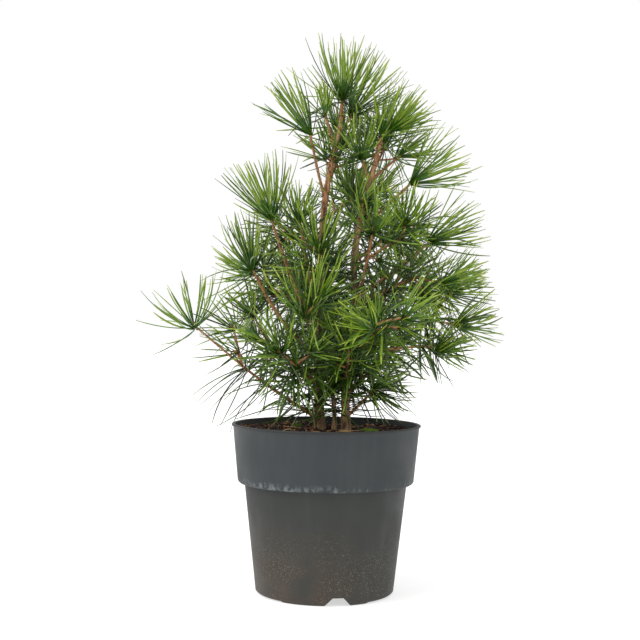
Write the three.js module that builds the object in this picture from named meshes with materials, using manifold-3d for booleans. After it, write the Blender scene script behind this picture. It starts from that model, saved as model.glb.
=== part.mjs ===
// Potted Japanese umbrella pine: a young conifer with two trunks in a round nursery pot.
// Millimetres, +Z up, origin at the centre of the pot's flat underside.
// +X is the viewer's right and +Y points away from the viewer.

import * as THREE from 'three';
import { mergeVertices } from 'three/addons/utils/BufferGeometryUtils.js';
import Module from 'manifold-3d';

const wasm = await Module();
wasm.setup();

const GAP = 0.3; // air between two pieces that touch
const TINY = 0.0001; // vertices closer than this are one
const SHARE_FINE = 0.0005; // how closely a share of a trunk's length is found
const UPRIGHT = 0.05; // a line closer to upright than this has no side of its own

// Pot: a moulded shell with a wide collar above a tapering body
const POT_HEIGHT = 168.3;
const POT_WALL = 2;
const POT_SIDES = 32;
const BASE_RADIUS = 69.3;
const BASE_ROUND = 3;
const BODY_TOP_RADIUS = 81.4;
const COLLAR_FROM = 109.6;
const COLLAR_FOOT_RADIUS = 88.4;
const COLLAR_ROUND = 3.6;
const COLLAR_TOP_RADIUS = 93.4;
const LIP_RADIUS = 95;
const LIP_HEIGHT = 2;
const LIP_UNDERCUT = 0.6;
const FLOOR_INSET = 4.2; // from the base's outer edge to the floor's
const LEDGE_RISE = 0.6; // of the ledge inside the collar, on either side

// Three drain channels cross the foot of the pot
const CHANNEL_COUNT = 3;
const CHANNEL_FIRST = -79.4; // heading of the first one, degrees
const CHANNEL_HEIGHT = 8;
const CHANNEL_WIDTH_LOW = 25.5;
const CHANNEL_WIDTH_HIGH = 10.5;
const CHANNEL_INNER = 34;
const DRAIN_RADIUS = 4;
const DRAIN_SIDES = 8;
const DRAIN_FROM_CENTRE = 56;

// Soil: it fills the pot to a little under the lip
const SOIL_TOP = 161.7;
const SOIL_FLAT = 34; // level ground round the trunks
const SOIL_WAVE = 1.6; // rise and fall near the wall
const SOIL_WAVE_ACROSS = 17;
const SOIL_WAVE_BACK = 21;
const SOIL_LEAN = 160; // it lies lower on the right, by one wave in this distance
const SOIL_RINGS = [0, SOIL_FLAT, 62];
const SOIL_EDGE = 3; // depth of its upright edge
const SOIL_CLEAR = 0.4; // from the pot

// Trunks: [right, back, up] where each one bends, and how thick it is
const FOOT = SOIL_TOP + GAP;
const BELOW = FOOT - 4; // height where the limb starts before it is cut off level
const FLARE = 0.55; // root flare, as a share of the radius
const FLARE_HEIGHT = 7;
const TRUNKS = {
  a: {
    bends: [
      [-6, 6, BELOW], [-8, 6, 205], [-8, 6, 262], [-7, 4, 350],
      [-3, 2, 399], [3, 0, 436], [10, 0, 466], [11, 0, 478],
    ],
    footRadius: 4.9,
    tipRadius: 2.1,
  },
  b: {
    bends: [
      [20, -8, BELOW], [19, -8, 209], [24, -8, 248], [28, -8, 289],
      [26, -6, 323], [30, -6, 366], [41, -6, 411], [50, -6, 449],
    ],
    footRadius: 4.2,
    tipRadius: 2.0,
  },
  c: {
    bends: [[8, -3, BELOW], [8, -3, 178], [6, -6, 197]],
    footRadius: 2.4,
    tipRadius: 1.5,
  },
};
const TRUNK_SIDES = 8;
const TRUNK_STEP = 27; // length of one faceted stretch
const TRUNK_CHECK = 12; // length of one stretch of the space it takes

// Branches leave a trunk at a height, turned to a heading (0 right, 90 back, 270 towards the
// viewer) and rising at an angle, both measured to the whorl at their end, "reach" away.
// "sag" lowers the middle of a branch. With "bough", that share of it is a bare limb.
// "olders" are shares of the way at which it passes an older whorl. "shoots" are the twigs that
// its last whorl sends out, each with a heading, a rise and a reach of its own, and with "size"
// or "dense" where its whorl is smaller or sparser. "faces" turns the last whorl, or a shoot's, to
// a heading and a rise. "fan" is how wide a young whorl opens, and "dense" how many needles it
// has, as a share. Older needles hang below a young whorl, where "skirt" isn't false.
const BRANCHES = [
  { name: 'top', trunk: 'a', tip: true, reach: 18, faces: [0, 83], fan: 50, needle: 62, dense: 1.5,
    seed: 4 },
  { name: 'top_left', trunk: 'a', height: 444, heading: 222, rise: 70, reach: 38, faces: [100, 84],
    fan: 30, needle: 32, dense: 0.6, seed: 8 },
  { name: 'top_back', trunk: 'a', height: 449, heading: 53, rise: 53, reach: 46, faces: [5, 58],
    fan: 46, needle: 69, seed: 12 },
  { name: 'left_shoulder', trunk: 'a', height: 393, heading: 204, rise: 75, reach: 69, sag: 3,
    bough: 0.86, faces: [180, 58], fan: 37, skirt: false, needle: 63, seed: 5 },
  { name: 'right_top', trunk: 'b', tip: true, reach: 10, faces: [0, 58], fan: 44,
    shoots: [[330, 24, 12, { size: 0.8 }]], needle: 60, seed: 293 },
  { name: 'right_upper', trunk: 'b', height: 413, heading: 34, rise: 37, reach: 47, bough: 0.7,
    faces: [5, 28], fan: 40, needle: 42, dense: 0.6, seed: 9 },
  { name: 'right_arm', trunk: 'b', height: 361, heading: 356, rise: 43, reach: 73, bough: 0.82,
    faces: [0, 33], fan: 45, skirt: false, needle: 65, dense: 1.2, seed: 31 },
  { name: 'between_top', trunk: 'b', height: 409, heading: 227, rise: 62, reach: 29,
    faces: [90, 86], needle: 48, seed: 14 },
  { name: 'left_tuft', trunk: 'a', height: 262, heading: 198, rise: 65, reach: 124, sag: 12,
    bough: 0.8, faces: [180, 76], fan: 46, skirt: false, needle: 64, dense: 1.5, seed: 61 },
  { name: 'left_inner', trunk: 'a', height: 270, heading: 233, rise: 71, reach: 106, sag: 8,
    bough: 0.84, faces: [0, 86], fan: 44, needle: 42, seed: 19 },
  { name: 'front_right', trunk: 'b', height: 289, heading: 285, rise: 52, reach: 88, sag: 6,
    bough: 0.8, faces: [290, 68], fan: 62, needle: 48, dense: 0.8, seed: 23 },
  { name: 'front_upper', trunk: 'b', height: 368, heading: 273, rise: 41, reach: 34,
    faces: [350, 50], fan: 50, needle: 36, dense: 0.5, seed: 26 },
  { name: 'middle', trunk: 'a', height: 372, heading: 35, rise: 36, reach: 44, faces: [30, 70],
    fan: 56, needle: 48, seed: 27 },
  { name: 'right_fan', trunk: 'b', height: 297, heading: 2, rise: 37, reach: 93, sag: 4, bough: 0.8,
    faces: [0, 23], fan: 46, needle: 60, dense: 1.05, seed: 33 },
  { name: 'right_bright', trunk: 'b', height: 326, heading: 327, rise: 28, reach: 63,
    shoots: [[273, 40, 18]], needle: 42, seed: 276 },
  { name: 'left_fan', trunk: 'a', height: 236, heading: 187, rise: 52, reach: 112, sag: 13,
    bough: 0.75, faces: [180, 80], fan: 50, needle: 57, dense: 1.2, seed: 278 },
  { name: 'front_left', trunk: 'a', height: 243, heading: 260, rise: 24, reach: 84, sag: 8,
    bough: 0.7, shoots: [[306, 31, 20]], faces: [260, 66], fan: 60, needle: 54, seed: 62 },
  { name: 'front_middle', trunk: 'a', height: 302, heading: 269, rise: 39, reach: 61, sag: 4,
    faces: [270, 74], fan: 60, needle: 54, seed: 41 },
  { name: 'right_middle', trunk: 'b', height: 289, heading: 3, rise: 25, reach: 64,
    shoots: [[334, -9, 34, { faces: [5, 24] }], [288, -30, 35]], fan: 42, needle: 44, seed: 194 },
  { name: 'right_low', trunk: 'b', height: 240, heading: 2, rise: 6, reach: 76, bough: 0.7,
    shoots: [[48, -4, 20], [320, -24, 15, { faces: [330, 24] }]], fan: 44, needle: 42, seed: 253 },
  { name: 'right_far', trunk: 'b', height: 262, heading: 6, rise: 8, reach: 80, sag: 3, bough: 0.8,
    shoots: [[14, -8, 27, { faces: [10, 14] }], [49, 45, 41, { faces: [10, 24] }]], fan: 46,
    needle: 48, seed: 96 },
  { name: 'left_low', trunk: 'a', height: 172, heading: 190, rise: 34, reach: 95, sag: 2,
    bough: 0.3, olders: [0.2, 0.37, 0.72],
    shoots: [[205, 38, 66, { size: 0.95, faces: [190, 76] }],
      [128, 65, 42, { size: 0.7, dense: 0.5, faces: [180, 40] }],
      [150, 62, 16, { size: 0.8, dense: 0.3, faces: [180, 12] }]],
    fan: 66, needle: 60, dense: 0.9, seed: 217 },
  { name: 'right_foot', trunk: 'b', height: 175, heading: 352, rise: 45, reach: 42, olders: [0.95],
    faces: [0, 8], fan: 70, needle: 46, dense: 0.8, seed: 251 },
  { name: 'front_low', trunk: 'a', height: 208, heading: 246, rise: 20, reach: 59,
    shoots: [[234, 27, 29], [312, 30, 27]], needle: 50, seed: 217 },
  { name: 'centre_low', trunk: 'b', height: 209, heading: 272, rise: 36, reach: 67, sag: 4, fan: 60,
    needle: 52, seed: 55 },
  { name: 'front_belly', trunk: 'b', height: 236, heading: 291, rise: 23, reach: 92,
    shoots: [[316, 9, 25, { faces: [345, 30] }], [244, -10, 29, { size: 0.8, faces: [215, 40] }]],
    fan: 58, needle: 48, dense: 0.7, seed: 8 },
  { name: 'foot_tuft', trunk: 'c', tip: true, reach: 8, fan: 60, needle: 48, seed: 59 },
  { name: 'back_top_left', trunk: 'a', height: 404, heading: 68, rise: 50, reach: 62,
    faces: [80, 74], fan: 46, needle: 52, seed: 61 },
  { name: 'back_top_right', trunk: 'b', height: 420, heading: 74, rise: 32, reach: 61,
    faces: [100, 64], fan: 46, needle: 54, seed: 63 },
  { name: 'back_upper_left', trunk: 'a', height: 340, heading: 123, rise: 20, reach: 71,
    shoots: [[118, 26, 30]], needle: 50, seed: 65 },
  { name: 'back_upper', trunk: 'b', height: 352, heading: 85, rise: 28, reach: 95,
    shoots: [[122, 37, 30], [34, 36, 26]], needle: 42, dense: 0.8, seed: 67 },
  { name: 'back_upper_right', trunk: 'b', height: 332, heading: 51, rise: 26, reach: 91,
    shoots: [[51, 6, 28]], needle: 44, dense: 0.8, seed: 69 },
  { name: 'back_left', trunk: 'a', height: 277, heading: 133, rise: 21, reach: 88,
    shoots: [[148, 33, 25, { size: 0.9 }], [97, 29, 35]], needle: 50, seed: 71 },
  { name: 'back_middle', trunk: 'a', height: 268, heading: 100, rise: 26, reach: 97,
    shoots: [[132, 34, 32], [54, 26, 33]], needle: 56, seed: 73 },
  { name: 'back_right', trunk: 'b', height: 270, heading: 62, rise: 21, reach: 107,
    shoots: [[55, 32, 34], [15, 1, 32]], needle: 54, seed: 75 },
  { name: 'back_low_left', trunk: 'a', height: 205, heading: 130, rise: 24, reach: 86,
    shoots: [[246, 40, 58], [125, 24, 35]], needle: 44, dense: 0.8, seed: 77 },
  { name: 'back_low', trunk: 'b', height: 214, heading: 93, rise: 21, reach: 94,
    shoots: [[126, 31, 35], [67, 19, 37]], needle: 56, seed: 79 },
  { name: 'back_low_right', trunk: 'b', height: 198, heading: 54, rise: 26, reach: 96,
    shoots: [[61, 19, 31]], needle: 50, seed: 81 },
];

// Whorls of needles that ring a bare stretch of trunk
const COLLARS = [
  { name: 'collar_high', trunk: 'a', height: 438, needle: 48, seed: 83 },
  { name: 'collar_right', trunk: 'b', height: 389, needle: 56, seed: 85 },
  { name: 'collar_middle', trunk: 'a', height: 316, needle: 56, seed: 87 },
  { name: 'collar_low', trunk: 'b', height: 224, needle: 48, seed: 89 },
];
const COLLAR_LONG = 7;
const COLLAR_THICK = 1.9;

// Limbs
const LIMB_RADIUS = 2.4; // of a branch at the trunk, for each 100 mm of reach
const LIMB_LEAST = 1.9;
const LIMB_TIP = 1.45;
const LIMB_TIP_FORKED = 1.7; // where it sends out shoots
const BOUGH_SIDES = 5;
const STEM_SIDES = 4;
const TWIG_SIDES = 3;
const TWIG_RADIUS = 1.6;
const TWIG_TIP = 1.4;
const LIMB_STEP = 30;
const LIMB_SHARES = [0.03, 0.35, 0.7, 1]; // ends of the stretches of space it takes
const LIFT = 0.15; // how far a whorl turns up from its branch's own line

// Needles: fewer and wider than in life, in whorls of three ages
const NEEDLE_WIDTH = 3.8;
const NEEDLE_THICK = 1.5;
const NEEDLE_ROOT = 0.36; // width at the root, as a share
const NEEDLE_STRAIGHT = 0.7; // the same for a straight one
const BUD_SIDE = 6;
const BUD_REACH = 4.8; // to its corners, about
const ROOT_DEPTH = 2.2; // how far from the bud's middle a needle starts
const GOLDEN = 137.508; // degrees from one needle to the next
const WHORLS = {
  young: { count: 7, from: 4, bend: 0.2, droop: 0, size: 1, parts: 2 },
  skirt: { count: 2, from: 58, to: 98, bend: 0.18, droop: 0.16, size: 1.06, parts: 1 },
  old: { count: 5, from: 26, to: 98, bend: 0.1, droop: 0.4, size: 1, parts: 1 },
  collar: { count: 5, from: 24, to: 80, bend: 0.14, droop: 0.06, size: 0.9, parts: 1 },
};
const WIDE = 54; // how wide a young whorl opens, where its branch doesn't say
const NEEDLE_VARY = 3.5; // degrees either way
const LENGTH_VARY = 0.08; // as a share, either way
const ASIDE = 9; // degrees that a needle turns aside at each try
const NEEDLE_SEEDS = 500; // added to a branch's seed for its needles
const TRIES = 7; // turns that a needle gets to find free air
const CLEAR_FROM = 0.07; // share of a needle beside its own bud and limb
const MATES_FROM = 0.3; // share of a needle that may meet others of its own mass
const BLADE_MIDDLE = 0.65;
const LOWEST_NEEDLE = POT_HEIGHT + 3;
const LOWEST_INSIDE = SOIL_TOP + 5;
const INSIDE_RADIUS = 78;

const COLOURS = {
  pot: { color: 0x45494c, roughness: 0.55 },
  soil: { color: 0x3a2417, roughness: 1 },
  trunk: { color: 0x6a5236, roughness: 0.9 },
  bough: { color: 0x94602f, roughness: 0.85 },
  needles: { color: 0x4f7f2c, roughness: 0.5 },
};

const UP = new THREE.Vector3(0, 0, 1);
const RIGHT = new THREE.Vector3(1, 0, 0);
const radians = THREE.MathUtils.degToRad;
const lerp = THREE.MathUtils.lerp;

// A repeatable stream of numbers from 0 to 1
function stream(seed) {
  let state = seed >>> 0;
  return () => {
    state = (Math.imul(state, 1664525) + 1013904223) >>> 0;
    return state / 4294967296;
  };
}

// A number from -amount to amount
function vary(amount, chance) {
  return amount * (2 * chance() - 1);
}

// Closed geometry to a solid and back
function toSolid(geometry) {
  geometry.deleteAttribute('normal');
  geometry.deleteAttribute('uv');
  const merged = mergeVertices(geometry, TINY);
  return new wasm.Manifold(new wasm.Mesh({
    numProp: 3,
    vertProperties: new Float32Array(merged.attributes.position.array),
    triVerts: new Uint32Array(merged.index.array),
  }));
}

function toGeometry(body) {
  const mesh = body.getMesh();
  const geometry = new THREE.BufferGeometry();
  geometry.setAttribute('position', new THREE.BufferAttribute(mesh.vertProperties, 3));
  geometry.setIndex(new THREE.BufferAttribute(mesh.triVerts, 1));
  return geometry;
}

function largest(body) {
  return body.decompose().reduce((a, b) => (b.volume() > a.volume() ? b : a));
}

// Two directions across a line, so that across, over and along are right-handed
function crossways(along) {
  const across = new THREE.Vector3().crossVectors(UP, along);
  if (across.length() < UPRIGHT) {
    across.crossVectors(RIGHT, along);
  }
  across.normalize();
  const over = new THREE.Vector3().crossVectors(along, across);
  return { across, over };
}

// A direction tilted off a line, turned about it
function tilted(along, tilt, turn) {
  const { across, over } = crossways(along);
  return along.clone().multiplyScalar(Math.cos(radians(tilt)))
    .addScaledVector(across, Math.sin(radians(tilt)) * Math.cos(radians(turn)))
    .addScaledVector(over, Math.sin(radians(tilt)) * Math.sin(radians(turn)));
}

// A round limb along a curve, its radius given by the share of the way
function limb(curve, radiusAt, sides, steps) {
  const geometry = new THREE.CylinderGeometry(1, 1, 1, sides, steps);
  const frames = curve.computeFrenetFrames(steps, false);
  const position = geometry.attributes.position;
  for (let i = 0; i < position.count; i += 1) {
    const step = Math.round((position.getY(i) + 0.5) * steps);
    const share = step / steps;
    const radius = radiusAt(share);
    const point = curve.getPointAt(share)
      .addScaledVector(frames.normals[step], position.getZ(i) * radius)
      .addScaledVector(frames.binormals[step], position.getX(i) * radius);
    position.setXYZ(i, point.x, point.y, point.z);
  }
  return toSolid(geometry);
}

// A flat three-sided needle that bends from its root to its tip
function needleSolid(route, wide, parts) {
  const geometry = new THREE.ConeGeometry(1, 1, 3, parts);
  const position = geometry.attributes.position;
  for (let i = 0; i < position.count; i += 1) {
    const share = position.getY(i) + 0.5;
    const full = share < 1 ? 1 / (1 - share) : 0;
    const size = parts > 1 ? lerp(NEEDLE_ROOT, 1, Math.min(share * 2, 1)) : NEEDLE_STRAIGHT;
    const along = route.getTangent(share);
    const over = new THREE.Vector3().crossVectors(wide, along).normalize();
    const point = route.getPoint(share)
      .addScaledVector(wide, position.getX(i) * full * size * NEEDLE_WIDTH / 2)
      .addScaledVector(over, position.getZ(i) * full * size * NEEDLE_THICK / 2);
    position.setXYZ(i, point.x, point.y, point.z);
  }
  return toSolid(geometry);
}

// Space that limbs and needles have already taken. The core of a mass is its stem, its twigs
// and the roots of its needles, which may meet each other.
const taken = [];

function stretches(curve, shares, radius, owner, core) {
  return shares.slice(1).map((share, i) => ({
    line: new THREE.Line3(curve.getPoint(shares[i]), curve.getPoint(share)),
    radius,
    owner,
    core,
  }));
}

function isFree(parts) {
  return parts.every((part) => taken.every((other) => {
    if (other.owner === part.owner && (other.core || part.core)) {
      return true;
    }
    return Math.sqrt(part.line.distanceSqToLine3(other.line)) > part.radius + other.radius + GAP;
  }));
}

function overThePot(parts) {
  return parts.every(({ line }) => [line.start, line.end].every((point) => {
    const inside = Math.hypot(point.x, point.y) < INSIDE_RADIUS;
    return point.z > (inside ? LOWEST_INSIDE : LOWEST_NEEDLE);
  }));
}

// Pot
function potProfile() {
  const inner = (radius) => radius - POT_WALL;
  const ledge = COLLAR_FROM + COLLAR_ROUND;
  return [
    [0, 0],
    [BASE_RADIUS - BASE_ROUND, 0],
    [BASE_RADIUS - BASE_ROUND / 3, BASE_ROUND / 3],
    [BASE_RADIUS, BASE_ROUND],
    [BODY_TOP_RADIUS, COLLAR_FROM],
    [COLLAR_FOOT_RADIUS - COLLAR_ROUND / 3, COLLAR_FROM + COLLAR_ROUND / 3],
    [COLLAR_FOOT_RADIUS, ledge],
    [COLLAR_TOP_RADIUS, POT_HEIGHT - LIP_HEIGHT - LIP_UNDERCUT],
    [LIP_RADIUS, POT_HEIGHT - LIP_HEIGHT],
    [LIP_RADIUS, POT_HEIGHT],
    [inner(COLLAR_TOP_RADIUS), POT_HEIGHT],
    [inner(COLLAR_FOOT_RADIUS), ledge + LEDGE_RISE],
    [inner(BODY_TOP_RADIUS), ledge - LEDGE_RISE],
    [BASE_RADIUS - FLOOR_INSET, POT_WALL],
    [0, POT_WALL],
  ];
}

function lathe(profile) {
  const points = profile.map(([radius, height]) => new THREE.Vector2(radius, height));
  const geometry = new THREE.LatheGeometry(points, POT_SIDES);
  geometry.rotateX(Math.PI / 2);
  return geometry;
}

// A channel along a radius, grown by a margin on its roof and sides
function channel(heading, margin) {
  const low = CHANNEL_WIDTH_LOW / 2 + margin;
  const high = CHANNEL_WIDTH_HIGH / 2 + margin;
  const outline = new THREE.Shape([
    new THREE.Vector2(-low, -POT_WALL),
    new THREE.Vector2(low, -POT_WALL),
    new THREE.Vector2(low, 0),
    new THREE.Vector2(high, CHANNEL_HEIGHT + margin),
    new THREE.Vector2(-high, CHANNEL_HEIGHT + margin),
    new THREE.Vector2(-low, 0),
  ]);
  const depth = BODY_TOP_RADIUS - CHANNEL_INNER + margin;
  const geometry = new THREE.ExtrudeGeometry(outline, { depth, bevelEnabled: false });
  geometry.rotateX(Math.PI / 2);
  geometry.rotateZ(Math.PI / 2);
  geometry.translate(CHANNEL_INNER - margin, 0, 0);
  geometry.rotateZ(radians(heading));
  return toSolid(geometry);
}

function channelHeadings() {
  return Array.from({ length: CHANNEL_COUNT }, (_, i) => CHANNEL_FIRST + i * 360 / CHANNEL_COUNT);
}

function drainHole(heading) {
  const long = 4 * CHANNEL_HEIGHT;
  const geometry = new THREE.CylinderGeometry(DRAIN_RADIUS, DRAIN_RADIUS, long, DRAIN_SIDES);
  geometry.rotateX(Math.PI / 2);
  geometry.translate(DRAIN_FROM_CENTRE, 0, 0);
  geometry.rotateZ(radians(heading));
  return toSolid(geometry);
}

function makePot() {
  const profile = potProfile();
  const rim = profile.findIndex(([, height]) => height === POT_HEIGHT);
  const outside = [...profile.slice(0, rim + 1), [0, POT_HEIGHT]];
  const envelope = toSolid(lathe(outside));
  let pot = toSolid(lathe(profile));
  for (const heading of channelHeadings()) {
    const roof = channel(heading, POT_WALL).intersect(envelope);
    pot = pot.add(roof).subtract(channel(heading, 0)).subtract(drainHole(heading));
  }
  return largest(pot);
}

// Soil
function soilHeight(x, y) {
  const radius = Math.hypot(x, y);
  const rough = THREE.MathUtils.smoothstep(radius, SOIL_FLAT, SOIL_FLAT * 2);
  const wave = Math.sin(x / SOIL_WAVE_ACROSS) * Math.cos(y / SOIL_WAVE_BACK) - x / SOIL_LEAN;
  return SOIL_TOP + rough * SOIL_WAVE * wave;
}

function makeSoil() {
  const ledge = COLLAR_FROM + COLLAR_ROUND;
  const inner = (radius) => radius - POT_WALL - SOIL_CLEAR;
  const edge = SOIL_TOP - SOIL_EDGE;
  const edgeShare = (edge - ledge) / (POT_HEIGHT - ledge);
  const edgeRadius = inner(lerp(COLLAR_FOOT_RADIUS, COLLAR_TOP_RADIUS, edgeShare));
  const profile = [
    [0, POT_WALL + SOIL_CLEAR],
    [BASE_RADIUS - FLOOR_INSET - SOIL_CLEAR, POT_WALL + SOIL_CLEAR],
    [inner(BODY_TOP_RADIUS), ledge],
    [inner(COLLAR_FOOT_RADIUS), ledge + LEDGE_RISE + SOIL_CLEAR * 2],
    [edgeRadius, edge],
    [edgeRadius, SOIL_TOP],
    ...SOIL_RINGS.map((radius) => [radius, SOIL_TOP]).reverse(),
  ];
  const geometry = lathe(profile);
  const position = geometry.attributes.position;
  for (let i = 0; i < position.count; i += 1) {
    if (position.getZ(i) > SOIL_TOP - 1) {
      position.setZ(i, soilHeight(position.getX(i), position.getY(i)));
    }
  }
  let soil = toSolid(geometry);
  for (const heading of channelHeadings()) {
    soil = soil.subtract(channel(heading, POT_WALL + SOIL_CLEAR));
  }
  return largest(soil);
}

// Trunks
function trunkRoute(trunk) {
  const points = trunk.bends.map((bend) => new THREE.Vector3(...bend));
  return new THREE.CatmullRomCurve3(points, false, 'centripetal');
}

function trunkRadius(trunk, route) {
  const long = route.getLength();
  return (share) => {
    const flare = 1 + FLARE * Math.exp(-share * long / FLARE_HEIGHT);
    return lerp(trunk.footRadius, trunk.tipRadius, share) * flare;
  };
}

function makeTrunk(trunk, margin) {
  const route = trunkRoute(trunk);
  const radiusAt = trunkRadius(trunk, route);
  const steps = Math.ceil(route.getLength() / TRUNK_STEP) + 1;
  const outward = margin > 0 ? 1 / Math.cos(Math.PI / TRUNK_SIDES) : 1;
  return limb(route, (share) => (radiusAt(share) + margin) * outward, TRUNK_SIDES, steps);
}

// The share of a trunk's length at which it reaches a height
function shareAtHeight(route, height) {
  let low = 0;
  let high = 1;
  while (high - low > SHARE_FINE) {
    const middle = (low + high) / 2;
    if (route.getPointAt(middle).z < height) {
      low = middle;
    } else {
      high = middle;
    }
  }
  return low;
}

// Everything below the flat cut at ground level
function underFoot() {
  const side = 2 * POT_HEIGHT;
  const geometry = new THREE.BoxGeometry(side, side, side);
  geometry.translate(0, 0, FOOT - side / 2);
  return toSolid(geometry);
}

const trunks = {};
for (const [name, trunk] of Object.entries(TRUNKS)) {
  const route = trunkRoute(trunk);
  trunks[name] = {
    route,
    radiusAt: trunkRadius(trunk, route),
    solid: makeTrunk(trunk, 0).subtract(underFoot()),
    cutter: makeTrunk(trunk, GAP),
  };
  const steps = Math.ceil(route.getLength() / TRUNK_CHECK);
  for (let i = 0; i < steps; i += 1) {
    const line = new THREE.Line3(route.getPointAt(i / steps), route.getPointAt((i + 1) / steps));
    const radius = trunks[name].radiusAt(i / steps);
    taken.push({ line, radius, owner: `trunk_${name}`, core: true });
  }
}

// Branches
function direction(heading, rise) {
  const flat = Math.cos(radians(rise));
  return new THREE.Vector3(
    flat * Math.cos(radians(heading)),
    flat * Math.sin(radians(heading)),
    Math.sin(radians(rise)),
  );
}

function branchRoute(branch) {
  const { route } = trunks[branch.trunk];
  if (branch.tip) {
    const along = route.getTangentAt(1);
    const start = route.getPointAt(1).addScaledVector(along, GAP);
    return new THREE.LineCurve3(start, start.clone().addScaledVector(along, branch.reach));
  }
  const start = route.getPointAt(shareAtHeight(route, branch.height));
  const end = start.clone().addScaledVector(direction(branch.heading, branch.rise), branch.reach);
  const middle = start.clone().lerp(end, 0.5).addScaledVector(UP, -2 * (branch.sag ?? 0));
  return new THREE.QuadraticBezierCurve3(start, middle, end);
}

// A stretch of a curve as a curve of its own
class Stretch extends THREE.Curve {
  constructor(whole, from, to) {
    super();
    Object.assign(this, { whole, from, to });
  }

  getPoint(share, target = new THREE.Vector3()) {
    return target.copy(this.whole.getPointAt(lerp(this.from, this.to, share)));
  }
}

function limbRadius(branch) {
  const foot = Math.max(LIMB_LEAST, LIMB_RADIUS * branch.reach / 100);
  const tip = branch.shoots ? LIMB_TIP_FORKED : LIMB_TIP;
  return (share) => (branch.tip ? TRUNKS[branch.trunk].tipRadius : lerp(foot, tip, share));
}

function stepsFor(length) {
  return Math.max(2, Math.ceil(length / LIMB_STEP));
}

function lifted(along) {
  return along.clone().addScaledVector(UP, LIFT).normalize();
}

// Whorls and shoots of one branch
function growth(branch) {
  const { fan = WIDE, dense = 1, shoots = [] } = branch;
  const route = branchRoute(branch);
  const whorls = (branch.olders ?? []).map((share) => (
    { at: route.getPointAt(share), along: route.getTangentAt(share), age: 'old' }
  ));
  const hub = route.getPointAt(1);
  const along = branch.faces ? direction(...branch.faces) : lifted(route.getTangentAt(1));
  const age = shoots.length > 0 && !branch.faces ? 'old' : 'young';
  whorls.push({ at: hub, along, age, fan, dense });
  const twigs = shoots.map(([heading, rise, reach, { size = 1, dense: share = 1, faces } = {}]) => {
    const way = direction(heading, rise);
    const end = hub.clone().addScaledVector(way, reach);
    const shootAlong = faces ? direction(...faces) : lifted(way);
    whorls.push({ at: end, along: shootAlong, age: 'young', fan, dense: dense * share, size });
    return new THREE.LineCurve3(hub, end);
  });
  return { route, whorls, twigs };
}

function needleCount(whorl) {
  return Math.round(WHORLS[whorl.age].count * (whorl.age === 'young' ? whorl.dense : 1));
}

// The route of one needle of a whorl, turned about the whorl's line
function needleRoute(whorl, index, length, chance, attempt) {
  const rule = WHORLS[whorl.age];
  const aside = Math.ceil(attempt / 2) * ASIDE * (attempt % 2 ? 1 : -1);
  const share = Math.sqrt((index + 0.5) / needleCount(whorl));
  const tilt = lerp(rule.from, rule.to ?? whorl.fan, share) + vary(NEEDLE_VARY, chance);
  const turn = index * GOLDEN + vary(NEEDLE_VARY, chance) + aside;
  const out = tilted(whorl.along, tilt, turn);
  const long = length * rule.size * (whorl.size ?? 1) * (1 + vary(LENGTH_VARY, chance));
  const start = whorl.at.clone().addScaledVector(out, whorl.from ?? ROOT_DEPTH);
  const middle = start.clone().addScaledVector(out, long / 2);
  const reach = out.clone()
    .addScaledVector(whorl.along, rule.bend)
    .addScaledVector(UP, -rule.droop * (1 - attempt / TRIES))
    .setLength(long);
  return new THREE.QuadraticBezierCurve3(start, middle, start.clone().add(reach));
}

function growNeedles(body, whorl, length, chance, owner) {
  const rule = WHORLS[whorl.age];
  let mass = body;
  for (let i = 0; i < needleCount(whorl); i += 1) {
    for (let attempt = 0; attempt < TRIES; attempt += 1) {
      const route = needleRoute(whorl, i, length, chance, attempt);
      const root = stretches(route, [CLEAR_FROM, MATES_FROM], NEEDLE_WIDTH / 2, owner, true);
      const blade = stretches(route, [MATES_FROM, BLADE_MIDDLE, 1], NEEDLE_WIDTH / 2, owner, false);
      const needle = [...root, ...blade];
      if (overThePot(needle) && isFree(needle)) {
        const wide = new THREE.Vector3().crossVectors(route.getTangent(0), whorl.along).normalize();
        mass = mass.add(needleSolid(route, wide, rule.parts));
        taken.push(...needle);
        break;
      }
    }
  }
  return mass;
}

// The bud that the needles of a whorl stand in
function budSolid({ at, along }) {
  const { across, over } = crossways(along);
  const geometry = new THREE.BoxGeometry(BUD_SIDE, BUD_SIDE, BUD_SIDE);
  geometry.applyMatrix4(new THREE.Matrix4().makeBasis(across, over, along).setPosition(at));
  return toSolid(geometry);
}

const grown = BRANCHES.map((branch) => ({ branch, ...growth(branch) }));
for (const { branch, route, whorls, twigs } of grown) {
  const owner = `needles_${branch.name}`;
  for (const { at } of whorls) {
    taken.push({ line: new THREE.Line3(at, at), radius: BUD_REACH, owner, core: true });
  }
  const radiusAt = limbRadius(branch);
  taken.push(...stretches(new Stretch(route, 0, 1), LIMB_SHARES, radiusAt(0), owner, true));
  twigs.forEach((twig) => taken.push(...stretches(twig, [0, 1], TWIG_RADIUS, owner, true)));
}

function makeBough({ branch, route }) {
  const radiusAt = limbRadius(branch);
  const part = new Stretch(route, 0, branch.bough);
  const steps = stepsFor(branch.reach * branch.bough);
  const bough = limb(part, (share) => radiusAt(share * branch.bough), BOUGH_SIDES, steps);
  return largest(bough.subtract(trunks[branch.trunk].cutter));
}

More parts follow.
